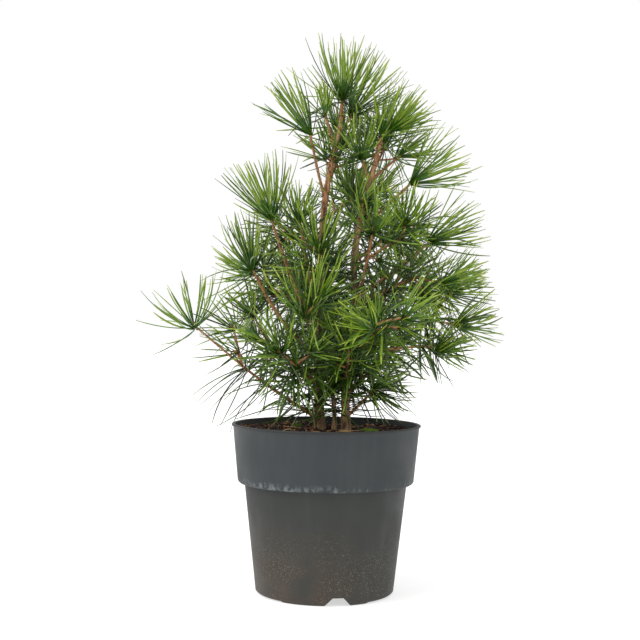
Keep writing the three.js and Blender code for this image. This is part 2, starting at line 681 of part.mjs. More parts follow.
function makeMass({ branch, route, whorls, twigs }) {
  const owner = `needles_${branch.name}`;
  const chance = stream(branch.seed + NEEDLE_SEEDS);
  const radiusAt = limbRadius(branch);
  const from = branch.bough ? branch.bough + GAP / route.getLength() : 0;
  const stem = new Stretch(route, from, 1);
  const steps = stepsFor(branch.reach * (1 - from));
  let mass = limb(stem, (share) => radiusAt(lerp(from, 1, share)), STEM_SIDES, steps);
  for (const twig of twigs) {
    const twigRadius = (share) => lerp(TWIG_RADIUS, TWIG_TIP, share);
    mass = mass.add(limb(twig, twigRadius, TWIG_SIDES, 1));
  }
  for (const whorl of whorls) {
    mass = mass.add(budSolid(whorl));
    mass = growNeedles(mass, whorl, branch.needle, chance, owner);
    if (whorl.age === 'young' && branch.skirt !== false) {
      mass = growNeedles(mass, { ...whorl, age: 'skirt' }, branch.needle, chance, owner);
    }
  }
  if (!branch.tip && !branch.bough) {
    mass = mass.subtract(trunks[branch.trunk].cutter);
  }
  return largest(mass);
}

const collars = COLLARS.map((collar) => {
  const { route, radiusAt } = trunks[collar.trunk];
  const share = shareAtHeight(route, collar.height);
  const half = COLLAR_LONG / 2 / route.getLength();
  const ring = new Stretch(route, share - half, share + half);
  const radius = radiusAt(share) + GAP;
  const owner = `needles_${collar.name}`;
  taken.push(...stretches(ring, [0, 1], radius + COLLAR_THICK, owner, true));
  return { collar, route, share, ring, radius, owner };
});

function makeCollar({ collar, route, share, ring, radius, owner }) {
  const chance = stream(collar.seed);
  const { cutter } = trunks[collar.trunk];
  let mass = limb(ring, () => radius + COLLAR_THICK, TRUNK_SIDES, 2).subtract(cutter);
  const whorl = {
    at: route.getPointAt(share),
    along: route.getTangentAt(share),
    age: 'collar',
    from: radius + COLLAR_THICK / 3,
  };
  mass = growNeedles(mass, whorl, collar.needle, chance, owner);
  return largest(mass.subtract(cutter));
}

// The whole plant in its pot
const plant = new THREE.Group();

function place(name, body, look) {
  const material = new THREE.MeshStandardMaterial({ ...COLOURS[look], metalness: 0 });
  const mesh = new THREE.Mesh(toGeometry(body), material);
  mesh.name = name;
  plant.add(mesh);
}

place('pot', makePot(), 'pot');
place('soil', makeSoil(), 'soil');
for (const [name, trunk] of Object.entries(trunks)) {
  place(`trunk_${name}`, trunk.solid, 'trunk');
}
for (const item of grown.filter(({ branch }) => branch.bough)) {
  place(`bough_${item.branch.name}`, makeBough(item), 'bough');
}
for (const item of grown) {
  place(`needles_${item.branch.name}`, makeMass(item), 'needles');
}
for (const collar of collars) {
  place(collar.owner, makeCollar(collar), 'needles');
}

export default plant;
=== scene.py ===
# Potted Japanese umbrella pine in a round nursery pot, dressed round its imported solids.
# Sizes are in millimetres, as in the solids, and meshes are written in metres.

import random
from math import cos, exp, hypot, inf, pi, radians, sin, sqrt

import bpy
import numpy as np
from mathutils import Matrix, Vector, noise


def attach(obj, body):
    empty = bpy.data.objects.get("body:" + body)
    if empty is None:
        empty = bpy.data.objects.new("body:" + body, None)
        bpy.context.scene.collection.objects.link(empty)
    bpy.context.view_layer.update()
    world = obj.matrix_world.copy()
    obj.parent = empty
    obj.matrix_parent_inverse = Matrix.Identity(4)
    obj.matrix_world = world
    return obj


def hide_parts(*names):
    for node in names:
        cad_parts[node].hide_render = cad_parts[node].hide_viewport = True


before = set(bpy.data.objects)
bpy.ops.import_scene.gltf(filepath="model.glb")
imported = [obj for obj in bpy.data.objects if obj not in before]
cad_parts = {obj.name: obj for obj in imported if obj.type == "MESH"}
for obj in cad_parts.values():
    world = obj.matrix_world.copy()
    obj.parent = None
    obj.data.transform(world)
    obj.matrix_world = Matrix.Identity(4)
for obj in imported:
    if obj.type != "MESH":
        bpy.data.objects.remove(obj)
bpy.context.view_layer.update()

MM = 0.001
BODY = "root"
UP = np.array([0.0, 0.0, 1.0])
RIGHT = np.array([1.0, 0.0, 0.0])

# Pot
POT_HEIGHT = 168.3
POT_WALL = 2.0
POT_SIDES = 224
BASE_RADIUS = 69.3
BASE_ROUND = 3.0
BODY_TOP_RADIUS = 81.4
COLLAR_FROM = 109.6
COLLAR_FOOT_RADIUS = 88.4
COLLAR_ROUND = 3.6
COLLAR_TOP_RADIUS = 93.4
LIP_RADIUS = 95.0
LIP_HEIGHT = 2.0
LIP_ROUND = 1.0
LIP_EDGE = 0.7  # radius of its inner edge
FLOOR_INSET = 4.2
FOOT_COUNT = 3
FOOT_HALF = 36.5  # half the stretch of base that stands on each foot, degrees
FOOT_LIFT = 0.9
CHANNEL_COUNT = 3
CHANNEL_FIRST = -79.4
CHANNELS = [CHANNEL_FIRST + k * 360 / CHANNEL_COUNT for k in range(CHANNEL_COUNT)]
CHANNEL_HEIGHT = 8.0
CHANNEL_WIDTH_LOW = 25.5
CHANNEL_WIDTH_HIGH = 10.5
CHANNEL_INNER = 34.0
DRAIN_RADIUS = 4.0
DRAIN_FROM_CENTRE = 56.0
POT_SHARP = 28  # edges sharper than this many degrees stay crisp

# Soil
SOIL_TOP = 161.7
SOIL_WAVE = 1.6
SOIL_WAVES = (17, 21)  # how long, right and back
SOIL_SLOPE = 160
SOIL_CLEAR = 0.4
SOIL_SIDES = 180
SOIL_RINGS = 62
SOIL_FLAT = 34  # radius within which it is level, round the trunks' feet
SOIL_WAVY = 68  # and beyond which it waves in full
CRUMBS = (3.4, 0.7)  # how wide and how high
LUMPS = (11, 0.7)
CHIPS_WITHIN = 89.0  # radius that a chip's far end keeps inside
FOOT_CLEAR = 7  # from a trunk's middle to the nearest chip
STRAW_WITHIN = 86
CHIPS = {
    "dark": dict(code="2c1a12", total=1500, seed=11, sizes=(2.0, 7.0), lift=0.4),
    "red": dict(code="5a2f1e", total=420, seed=12, sizes=(2.0, 8.0), lift=0.4),
    "pale": dict(code="a97a4e", total=170, seed=13, sizes=(1.6, 5.0), lift=0.8),
}
MOSS = [(43, -14, 9, 260), (-30, 30, 6, 90), (12, -52, 5, 70)]  # right, back, radius, tufts
STRAWS = 16

# Trunks: [right, back, up] where each one bends, and how thick it is
FOOT = SOIL_TOP + 0.3
BELOW = FOOT - 4
FLARE = 0.55
FLARE_HEIGHT = 7.0
TRUNKS = {
    "a": dict(
        bends=[(-6, 6, BELOW), (-8, 6, 205), (-8, 6, 262), (-7, 4, 350),
               (-3, 2, 399), (3, 0, 436), (10, 0, 466), (11, 0, 478)],
        foot=4.9, tip=2.1,
    ),
    "b": dict(
        bends=[(20, -8, BELOW), (19, -8, 209), (24, -8, 248), (28, -8, 289),
               (26, -6, 323), (30, -6, 366), (41, -6, 411), (50, -6, 449)],
        foot=4.2, tip=2.0,
    ),
    "c": dict(bends=[(8, -3, BELOW), (8, -3, 178), (6, -6, 197)], foot=2.4, tip=1.5),
}


def limb(name, trunk, height, heading, rise, reach, needle, seed, **more):
    """A branch that leaves a trunk at a height, turned to a heading (0 right, 90 back, 270 towards
    the viewer) and rising at an angle, both measured to the whorl at its end, "reach" away."""
    way = dict(height=height, heading=heading, rise=rise, reach=reach)
    return dict(way, name=name, trunk=trunk, needle=needle, seed=seed, **more)


# One without a height carries on from its trunk's tip. "needle" is its needles' length, "sag"
# lowers its middle, "bough" is the share of it that is a bare limb, and at "olders", shares of its
# length, it passes older whorls. "shoots" are the twigs from its last whorl, each with a heading,
# a rise, a reach and what its own whorl has. "faces" turns a last whorl to a heading and a rise,
# "fan" is how wide a young whorl opens, "dense" how many needles it has and "size" how long they
# are, as shares. Older needles hang below a young whorl, where "skirt" isn't False.
BRANCHES = [
    dict(name="top", trunk="a", reach=18, needle=62, seed=4, faces=(0, 83), fan=50, dense=1.5),
    limb("top_left", "a", 444, 222, 70, 38, 32, 8, faces=(100, 84), fan=30, dense=0.6),
    limb("top_back", "a", 449, 53, 53, 46, 69, 12, faces=(5, 58), fan=46),
    limb("left_shoulder", "a", 393, 204, 75, 69, 63, 5, sag=3, bough=0.86, faces=(180, 58), fan=37,
         skirt=False),
    dict(name="right_top", trunk="b", reach=10, needle=60, seed=293, faces=(0, 58), fan=44,
         shoots=[(330, 24, 12, dict(size=0.8))]),
    limb("right_upper", "b", 413, 34, 37, 47, 42, 9, bough=0.7, faces=(5, 28), fan=40, dense=0.6),
    limb("right_arm", "b", 361, 356, 43, 73, 65, 31, bough=0.82, faces=(0, 33), fan=45, skirt=False,
         dense=1.2),
    limb("between_top", "b", 409, 227, 62, 29, 48, 14, faces=(90, 86)),
    limb("left_tuft", "a", 262, 198, 65, 124, 64, 61, sag=12, bough=0.8, faces=(180, 76), fan=46,
         skirt=False, dense=1.5),
    limb("left_inner", "a", 270, 233, 71, 106, 42, 19, sag=8, bough=0.84, faces=(0, 86), fan=44),
    limb("front_right", "b", 289, 285, 52, 88, 48, 23, sag=6, bough=0.8, faces=(290, 68), fan=62,
         dense=0.8),
    limb("front_upper", "b", 368, 273, 41, 34, 36, 26, faces=(350, 50), fan=50, dense=0.5),
    limb("middle", "a", 372, 35, 36, 44, 48, 27, faces=(30, 70), fan=56),
    limb("right_fan", "b", 297, 2, 37, 93, 60, 33, sag=4, bough=0.8, faces=(0, 23), fan=46, dense=1.05),
    limb("right_bright", "b", 326, 327, 28, 63, 42, 276, shoots=[(273, 40, 18)]),
    limb("left_fan", "a", 236, 187, 52, 112, 57, 278, sag=13, bough=0.75, faces=(180, 80), fan=50,
         dense=1.2),
    limb("front_left", "a", 243, 260, 24, 84, 54, 62, sag=8, bough=0.7, shoots=[(306, 31, 20)],
         faces=(260, 66), fan=60),
    limb("front_middle", "a", 302, 269, 39, 61, 54, 41, sag=4, faces=(270, 74), fan=60),
    limb("right_middle", "b", 289, 3, 25, 64, 44, 194,
         shoots=[(334, -9, 34, dict(faces=(5, 24))), (288, -30, 35)], fan=42),
    limb("right_low", "b", 240, 2, 6, 76, 42, 253, bough=0.7,
         shoots=[(48, -4, 20), (320, -24, 15, dict(faces=(330, 24)))], fan=44),
    limb("right_far", "b", 262, 6, 8, 80, 48, 96, sag=3, bough=0.8,
         shoots=[(14, -8, 27, dict(faces=(10, 14))), (49, 45, 41, dict(faces=(10, 24)))], fan=46),
    limb("left_low", "a", 172, 190, 34, 95, 60, 217, sag=2, bough=0.3, olders=[0.2, 0.37, 0.72],
         shoots=[(205, 38, 66, dict(size=0.95, faces=(190, 76))),
                 (128, 65, 42, dict(size=0.7, dense=0.5, faces=(180, 40))),
                 (150, 62, 16, dict(size=0.8, dense=0.3, faces=(180, 12)))],
         fan=66, dense=0.9),
    limb("right_foot", "b", 175, 352, 45, 42, 46, 251, olders=[0.95], faces=(0, 8), fan=70, dense=0.8),
    limb("front_low", "a", 208, 246, 20, 59, 50, 217, shoots=[(234, 27, 29), (312, 30, 27)]),
    limb("centre_low", "b", 209, 272, 36, 67, 52, 55, sag=4, fan=60),
    limb("front_belly", "b", 236, 291, 23, 92, 48, 8,
         shoots=[(316, 9, 25, dict(faces=(345, 30))), (244, -10, 29, dict(size=0.8, faces=(215, 40)))],
         fan=58, dense=0.7),
    dict(name="foot_tuft", trunk="c", reach=8, needle=48, seed=59, fan=60),
    limb("back_top_left", "a", 404, 68, 50, 62, 52, 61, faces=(80, 74), fan=46),
    limb("back_top_right", "b", 420, 74, 32, 61, 54, 63, faces=(100, 64), fan=46),
    limb("back_upper_left", "a", 340, 123, 20, 71, 50, 65, shoots=[(118, 26, 30)]),
    limb("back_upper", "b", 352, 85, 28, 95, 42, 67, shoots=[(122, 37, 30), (34, 36, 26)], dense=0.8),
    limb("back_upper_right", "b", 332, 51, 26, 91, 44, 69, shoots=[(51, 6, 28)], dense=0.8),
    limb("back_left", "a", 277, 133, 21, 88, 50, 71, shoots=[(148, 33, 25, dict(size=0.9)), (97, 29, 35)]),
    limb("back_middle", "a", 268, 100, 26, 97, 56, 73, shoots=[(132, 34, 32), (54, 26, 33)]),
    limb("back_right", "b", 270, 62, 21, 107, 54, 75, shoots=[(55, 32, 34), (15, 1, 32)]),
    limb("back_low_left", "a", 205, 130, 24, 86, 44, 77, shoots=[(246, 40, 58), (125, 24, 35)], dense=0.8),
    limb("back_low", "b", 214, 93, 21, 94, 56, 79, shoots=[(126, 31, 35), (67, 19, 37)]),
    limb("back_low_right", "b", 198, 54, 26, 96, 50, 81, shoots=[(61, 19, 31)]),
]
COLLARS = [
    dict(name="collar_high", trunk="a", height=438, needle=48, seed=83),
    dict(name="collar_right", trunk="b", height=389, needle=56, seed=85),
    dict(name="collar_middle", trunk="a", height=316, needle=56, seed=87),
    dict(name="collar_low", trunk="b", height=224, needle=48, seed=89),
]

# Limbs
LIMB_RADIUS = 2.1  # of a branch at the trunk, for each 100 mm of reach
LIMB_LEAST = 1.45
LIMB_TIP = 1.15
TWIG_RADIUS = 1.2
TWIG_TIP = 0.95
LIMB_STEP = 2.4
LIMB_SIDES, TWIG_SIDES, SHOOT_SIDES = 12, 10, 8
LIMB_LUMPS = (0.35, 0.16)  # how fine and how deep
LIMB_SWELL = (0.7, 5)  # share that it is thicker where it leaves the trunk, and over what length
LIFT = 0.15  # how far a whorl turns up from its branch's own line
BARK_STEP = 1.6
BARK_SIDES = 26
BARK_LUMPS = (1.6, 0.06, 0.15)  # how fine round the trunk and up it, and how deep
BARK_RIDGES = (3.4, 0.35, 0.16)
KNOT_SWELL = 0.16
KNOT_HEIGHT = 3.5
SCALE_LONG = 3.1
SCALE_VARY = 0.9
SCALE_HALF = 0.62  # half its width
TRUNK_SCALES = dict(low=0.55, high=0.97, every=1.3, size=1.25)
BUD_LONG = 6.6
BUD = [(0.0, 0.9), (0.15, 1.6), (0.35, 1.95), (0.6, 1.55), (0.85, 0.7), (1.0, 0.15)]

# Needles, in whorls of several ages: "depth" is the length of stem that they spring from
NEEDLE_WIDTH = 1.55
NEEDLE_THICK = 0.85
NEEDLE_ROOT = 0.55  # width at its root, as a share, and at its tip, and thickness there
NEEDLE_TIP = 0.42
NEEDLE_TIP_THICK = 0.45
NEEDLE_STEPS = 6
ROOT_DEPTH = 1.0
GOLDEN = 137.508  # degrees from one needle to the next
WHORLS = {
    "young": dict(count=36, low=3, depth=4, bend=0.3, droop=0.0, size=1.0),
    "skirt": dict(count=9, low=62, high=102, depth=5, bend=0.22, droop=0.14, size=1.0),
    "old": dict(count=20, low=24, high=100, depth=6, bend=0.1, droop=0.42, size=1.0),
    "collar": dict(count=34, low=22, high=78, depth=8, bend=0.14, droop=0.06, size=0.9),
    "inner": dict(count=16, low=40, high=100, depth=12, bend=0.1, droop=0.08, size=0.9),
    "side": dict(count=13, low=5, high=66, depth=3, bend=0.12, droop=0.03, size=0.85),
}
OPENING = 1.03  # a needle starts out this much wider than its tilt, and bends in
WIDE = 54.0  # how wide a young whorl opens, where its branch doesn't say
NEEDLE_VARY = 12.0  # degrees either way
WIDTH_VARY = 0.2
SHORTEST = 0.82  # of a whorl's needles, as a share of its needle length
LONGEST = 1.13
INNERMOST = 0.88  # length of a whorl's innermost needles, as a share
OUTERMOST = 1.04
BEND_VARY = 0.26
CURL = 0.25  # how far a needle bends aside
TWIST = 50.0  # degrees that a needle turns about its own line, either way
ASIDE = 7.0  # degrees that a needle turns aside at each try
NEEDLE_SEEDS = 500
OLDER_DENSE = 0.65
OLDER_WIDE = 1.4  # an older whorl's needles are seen wider
INNER_LEAST = 64  # a branch this long has whorls on its inner part too
INNER_SHARES = (0.35, 0.68)
TRUNK_WHORLS = (192, 336, 9)  # lowest, highest and every so far
TRUNK_WHORL_NEEDLE = 46
NEEDLE_SUNK = 0.3  # into a trunk's bark
SIDE_EVERY = 11  # from one fine shoot to the next, on the leafy part of a branch
SIDE_LEAST = 28  # a shorter leafy part has none
SIDE_FROM = 0.26
SIDE_TO = 0.94
SIDE_TILT = 50
SIDE_REACH = 15
SIDE_VARY = 6
TRIES = 6
TRUNK_CLEAR = 1.2  # air between a needle and a trunk
LOWEST_INSIDE = SOIL_TOP + 4  # of a needle over the soil, over the lip and outside the pot
LOWEST_OVER_LIP = POT_HEIGHT + 2
LOWEST_OUTSIDE = POT_HEIGHT - 10
INSIDE_RADIUS = 84.0
OUTSIDE_RADIUS = LIP_RADIUS + 4

# Light and shade in the crown, which choose a needle's tone
CROWN_HEIGHTS = [165, 215, 300, 400, 480, 565]
CROWN_REACHES = [90, 165, 180, 140, 90, 40]  # how far out it reaches there, about
CROWN_MIDDLE = 8
CROWN_LOW = 230
CROWN_HIGH = 530
SHADE_OUTWARD = 0.55
SHADE_UPWARD = 0.5
SHADE_OF_AGE = {"young": 0.28, "side": 0.18}
SHADE_VARY = 0.6
TONE_LEASTS = {"bright": 0.78, "green": 0.5, "deep": 0.26, "dark": -inf}
# The tones are lit and shaded copies of one green. In each, the root colour is darker, partly the needles'
# own green and partly painted shade, and the tip colour is lighter, a painted light.
NEEDLE_CODES = {
    "bright": dict(blade="7a991c", root="426c18", tip="9cac38", under="869a44"),
    "green": dict(blade="5c7f14", root="3a6212", tip="7e9a2a", under="6e8a38"),
    "deep": dict(blade="43620e", root="2a4a0e", tip="607a20", under="5c7632"),
    "dark": dict(blade="2f4508", root="20350a", tip="485c1c", under="4a5e2e"),
}

# A needle's section, as shares of half its width and half its thickness
NEEDLE_SECTION = [(-1, 0.1), (-0.5, 1), (0, 0.35), (0.5, 1), (1, 0.1),
                  (0.42, -0.9), (0, -0.5), (-0.42, -0.9)]
ROOT_STEPS = 2  # steps of a needle in its root's darker green, partly its own colour and partly painted shade at the whorl
LIT_TIP_STEPS = 1  # and in its tip's lighter yellow-green, which is painted light
UNDERSIDE = (5, 6)  # faces of the section that lie in its pale groove
BLADE_FACE, ROOT_FACE, LIT_TIP_FACE, UNDER_FACE = range(4)

# Camera, light and floor, in metres and degrees
CAMERA_PLACE = (-0.0076, -1.236, 0.2724)
CAMERA_ROLL = -0.7
CAMERA_LENS = 69.1
SUNS = {
    "key": dict(strength=1.5, spread=40, heading=208, rise=48),
    "fill": dict(strength=0.06, spread=60, heading=320, rise=35),
}
FLOOR_HALF = 12.0


def linear(code):
    """A colour written as six hex digits, as linear numbers."""
    shares = [int(code[i:i + 2], 16) / 255 for i in (0, 2, 4)]
    return [s / 12.92 if s <= 0.04045 else ((s + 0.055) / 1.055) ** 2.4 for s in shares]


def unit(vector):
    return vector / np.linalg.norm(vector)


def lerp(a, b, share):
    return a + (b - a) * share


def smoothstep(value, low, high):
    share = np.clip((value - low) / (high - low), 0, 1)
    return share * share * (3 - 2 * share)


def stream(seed):
    """A repeatable run of numbers from 0 to 1."""
    state = seed
    while True:
        state = (state * 1664525 + 1013904223) % 2**32
        yield state / 2**32


def vary(amount, chance):
    """A number from -amount to amount."""
    return amount * (2 * next(chance) - 1)


# Curves


class Route:
    """A curve as closely spaced points, found by the share of its length."""

    def __init__(self, points):
        self.points = np.array(points, dtype=float)
        steps = np.linalg.norm(np.diff(self.points, axis=0), axis=1)
        walked = np.concatenate([[0], np.cumsum(steps)])
        self.length = walked[-1]
        self.shares = walked / self.length

    def at(self, share):
        return np.stack([np.interp(share, self.shares, axis) for axis in self.points.T], axis=-1)

    def along(self, share, reach=0.004):
        return unit(self.at(min(share + reach, 1)) - self.at(max(share - reach, 0)))


def smooth_route(bends, fine=60):
    """A centripetal Catmull-Rom curve through the bends."""
    bends = [np.array(bend, dtype=float) for bend in bends]
    bends = [2 * bends[0] - bends[1], *bends, 2 * bends[-1] - bends[-2]]
    points = [bends[1]]
    for p0, p1, p2, p3 in zip(bends, bends[1:], bends[2:], bends[3:]):
        d0, d1, d2 = (np.linalg.norm(b - a) ** 0.5 for a, b in ((p0, p1), (p1, p2), (p2, p3)))
        t1 = ((p1 - p0) / d0 - (p2 - p0) / (d0 + d1) + (p2 - p1) / d1) * d1
        t2 = ((p2 - p1) / d1 - (p3 - p1) / (d1 + d2) + (p3 - p2) / d2) * d1
        for t in np.linspace(0, 1, fine + 1)[1:]:
            turn = (-3 * p1 + 3 * p2 - 2 * t1 - t2) * t**2
            points.append(p1 + t1 * t + turn + (2 * p1 - 2 * p2 + t1 + t2) * t**3)
    return Route(points)


def bent_points(start, middle, end, fine):
    """Points on a quadratic curve drawn to its middle point."""
    t = np.linspace(0, 1, fine + 1)[:, None]
    return (1 - t) ** 2 * start + 2 * t * (1 - t) * middle + t**2 * end


def shoot_route(start, way, reach, sag=0, fine=60):
    end = start + way * reach
    return Route(bent_points(start, (start + end) / 2 - UP * sag, end, fine))


def crossways(along):
    """Two directions across a line."""
    across = np.cross(UP, along)
    if np.linalg.norm(across) < 0.05:
        across = np.cross(RIGHT, along)
    across = unit(across)
    return across, np.cross(along, across)


def tilted(along, tilt, turn):
    """A direction tilted off a line, turned about it, in degrees."""
    across, over = crossways(along)
    tilt = radians(tilt)
    turn = radians(turn)
    return along * cos(tilt) + (across * cos(turn) + over * sin(turn)) * sin(tilt)


def direction(heading, rise):
    heading = radians(heading)
    rise = radians(rise)
    flat = cos(rise)
    return np.array([flat * cos(heading), flat * sin(heading), sin(rise)])


# Meshes


def placed(name, data):
    """A new object in the scene."""
    obj = bpy.data.objects.new(name, data)
    bpy.context.scene.collection.objects.link(obj)
    return obj


class Heap:
    """Shapes gathered into one piece."""

    def __init__(self):
        self.corners, self.faces, self.looks = [], [], []
        self.size = 0

    def add(self, corners, faces, looks=(0, 0, 0)):
        """faces are up to three arrays of corner numbers, each with its look or looks."""
        for group, look in zip(faces, looks):
            self.faces.append(np.asarray(group, dtype=np.int32) + self.size)
            self.looks.append(np.broadcast_to(look, len(group)))
        self.corners.append(np.asarray(corners, dtype=float).reshape(-1, 3))
        self.size += len(self.corners[-1])

    def mesh_object(self, name, materials, smooth):
        mesh = bpy.data.meshes.new(name)
        faces = [face for group in self.faces for face in group.tolist()]
        mesh.from_pydata((np.concatenate(self.corners) * MM).tolist(), [], faces)
        mesh.polygons.foreach_set("material_index", np.concatenate(self.looks).astype(np.int32))
        mesh.polygons.foreach_set("use_smooth", np.full(len(faces), smooth))
        for material in materials:
            mesh.materials.append(material)
        return placed(name, mesh)

    def piece(self, name, materials, slot, nodes=(), smooth=True):
        return dress(self.mesh_object(name, materials, smooth), nodes)


def dress(obj, nodes=()):
    """Ties a piece to the body and hides the nodes that it stands for."""
    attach(obj, BODY)
    if nodes:
        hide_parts(*nodes)
    return obj


def ring_faces(rings, sides):
    """The faces between rings of corners, and the two end faces."""
    ring = np.arange(sides)
    after = np.roll(ring, -1)
    starts = np.arange(rings - 1)[:, None] * sides
    above = starts + sides
    quads = np.stack([starts + ring, starts + after, above + after, above + ring], axis=-1)
    last = (rings - 1) * sides
    return quads.reshape(-1, 4), ring[::-1][None, :], (last + ring)[None, :]


def tube(points, radii, sides, relief=None):
    """A closed limb along the points. relief(k, turns) multiplies the radius round ring k."""
    points = np.asarray(points)
    along = np.gradient(points, axis=0)
    along /= np.linalg.norm(along, axis=1)[:, None]
    across, _ = crossways(along[0])
    turns = np.arange(sides) * 2 * pi / sides
    rings = []
    for k, (point, line) in enumerate(zip(points, along)):
        across = unit(across - line * across.dot(line))
        over = np.cross(line, across)
        radius = np.full(sides, radii[k])
        if relief:
            radius = radius * relief(k, turns)
        ring = np.cos(turns)[:, None] * across + np.sin(turns)[:, None] * over
        rings.append(point + ring * radius[:, None])
    return np.concatenate(rings), ring_faces(len(points), sides)


def lathe(profile, sides):
    """A closed body turned about the upright axis, from a profile that starts and ends on it."""
    turns = np.arange(sides) * 2 * pi / sides
    round_ = np.stack([np.cos(turns), np.sin(turns)], axis=-1)
    corners = [[(0, 0, profile[0][1])]]
    for radius, height in profile[1:-1]:
        corners.append(np.column_stack([round_ * radius, np.full(sides, height)]))
    corners.append([(0, 0, profile[-1][1])])
    quads, _, _ = ring_faces(len(profile) - 2, sides)
    ring = 1 + np.arange(sides)
    after = np.roll(ring, -1)
    last = (len(profile) - 3) * sides
    start = np.stack([np.zeros_like(ring), after, ring], axis=-1)
    end = np.stack([np.full(sides, last + sides + 1), last + ring, last + after], axis=-1)
    return np.concatenate(corners), [quads + 1, start, end]


# Materials


def paint(colour):
    """A colour for a socket, from six hex digits, linear numbers or another socket."""
    if isinstance(colour, bpy.types.NodeSocket):
        return colour
    return (*(linear(colour) if isinstance(colour, str) else colour), 1)


class Look:
    """A material whose nodes are added one by one."""

    def __init__(self, name, colour, roughness, **values):
        self.material = bpy.data.materials.new(name)
        self.material.use_nodes = True
        self.tree = self.material.node_tree
        self.shader = self.tree.nodes["Principled BSDF"]
        self.wear(Base_Color=paint(colour), Roughness=roughness, **values)
        self.place = self.node("TexCoord", "Object")

    def feed(self, node, values):
        """Sets a node's inputs, or links them to other nodes' outputs."""
        for name, value in values.items():
            if isinstance(value, bpy.types.NodeSocket):
                self.tree.links.new(value, node.inputs[name])
            else:
                node.inputs[name].default_value = value

    def wear(self, **values):
        """Feeds the surface itself."""
        self.feed(self.shader, {name.replace("_", " "): value for name, value in values.items()})

    def node(self, kind, output, values=None, **settings):
        """The output of a new node."""
        node = self.tree.nodes.new("ShaderNode" + kind)
        for key, value in settings.items():
            setattr(node, key, value)
        self.feed(node, values or {})
        return node.outputs[output]

    def spots(self, scale, detail=3.0, stretch=(1, 1, 1)):
        """Noise from 0 to 1, with its scale in spots a metre."""
        place = self.node("Mapping", "Vector", {"Vector": self.place, "Scale": stretch})
        return self.node("TexNoise", "Fac", {"Vector": place, "Scale": scale, "Detail": detail})

    def band(self, value, low, high, start=0.0, end=1.0):
        """Runs smoothly from start to end as the value goes from low to high."""
        values = {"Value": value, "From Min": low, "From Max": high, "To Min": start, "To Max": end}
        return self.node("MapRange", "Result", values, interpolation_type="SMOOTHSTEP")

    def level(self, low, high, start=0.0, end=1.0, axis="Z"):
        """The same between two heights, or two places on another axis."""
        place = self.node("SeparateXYZ", axis, {"Vector": self.place})
        return self.band(place, low * MM, high * MM, start, end)

    def maths(self, operation, first, second):
        return self.node("Math", "Value", {0: first, 1: second}, operation=operation)

    def times(self, first, *others):
        for other in others:
            first = self.maths("MULTIPLY", first, other)
        return first

    def mix(self, share, first, second):
        values = {0: share, 6: paint(first), 7: paint(second)}
        return self.node("Mix", 2, values, data_type="RGBA")

    def ramp(self, value, stops):
        mixed = self.node("ValToRGB", "Color", {"Fac": value})
        marks = mixed.node.color_ramp.elements
        while len(marks) < len(stops):
            marks.new(0.5)
        for mark, (place, colour) in zip(marks, stops):
            mark.position = place
            mark.color = paint(colour)
        return mixed

    def bump(self, height, distance, strength=1.0):
        values = {"Height": height, "Distance": distance, "Strength": strength}
        self.wear(Normal=self.node("Bump", "Normal", values))


def pot_look():
    """Dark grey plastic: bluish on the collar, warmer with a dusting lower down, scuffed at the step;
    painted shade darkens its lip and its right side.
    """
    look = Look("pot_plastic", "353a3d", 0.5, Specular_IOR_Level=0.25)
    streaks = look.spots(30, 4, (2.2, 2.2, 0.12))
    collar = look.level(COLLAR_FROM - 1.6, COLLAR_FROM + 3.4)
    # Painted shade: the lip and rim are darkened half way to dark brown, so their upturned faces don't
    # read lighter than the wall.
    lip = look.level(POT_HEIGHT - 2.8, POT_HEIGHT - 1.8, 0.0, 0.5)
    base = look.mix(collar, "343634", "363a3c")
    base = look.mix(look.band(streaks, 0.42, 0.75, 0.0, 0.3), base, "434748")
    base = look.mix(lip, base, "26221f")
    return dust_scuffs_and_side_shade(look, base, streaks)


def dust_scuffs_and_side_shade(look, base, streaks):
    """The pot's dusting, pale specks and scuffs over its own colour, thinned on its right as painted
    shade.
    """
    cloud = look.spots(26, 5)
    # Painted shade: this mask thins the dusting and the scuffs towards the right, so the pot's right side
    # reads darker, as if lit from the left.
    side = look.level(-20, 80, 0.9, 0.2, axis="X")
    lower = look.level(4, 100, 1.0, 0.0)
    dust_with_side_shade = look.times(look.band(cloud, 0.22, 0.52), lower, side, 0.7)
    base = look.mix(dust_with_side_shade, base, "4a3f33")
    specks = look.times(look.band(look.spots(900, 1), 0.6, 0.72), look.band(cloud, 0.34, 0.6),
                        look.band(lower, 0.0, 0.8, 0.0, 0.55))
    base = look.mix(specks, base, "87837a")
    over_step = look.level(COLLAR_FROM - 0.1, COLLAR_FROM + 1.4)
    step = look.times(over_step, look.level(COLLAR_FROM + 2.4, COLLAR_FROM + 9.4, 1.0, 0.0))
    scratches = look.band(look.spots(280, 5, (1, 1, 0.5)), 0.47, 0.62)
    worn = look.times(scratches, look.band(look.spots(45, 2), 0.38, 0.58))
    # Real scuffs at the step, thinned to the right by the side mask as painted shade.
    base = look.mix(look.times(step, worn, side, 0.6), base, "80888a")
    look.wear(Base_Color=base, Roughness=look.band(cloud, 0.3, 0.7, 0.46, 0.64))
    grain = look.times(look.spots(1400, 2), 0.4)
    look.bump(look.maths("ADD", grain, look.times(streaks, 0.6)), 0.0003, 0.5)
    return look.material


def soil_look():
    """Damp bark compost between the chips."""
    look = Look("compost", "2c1a11", 0.95)
    crumbs = look.spots(420, 6)
    stops = [(0.3, "110a06"), (0.5, "24150e"), (0.62, "3c2216"), (0.75, "6e452b")]
    look.wear(Base_Color=look.ramp(crumbs, stops))
    look.bump(crumbs, 0.0025)
    return look.material


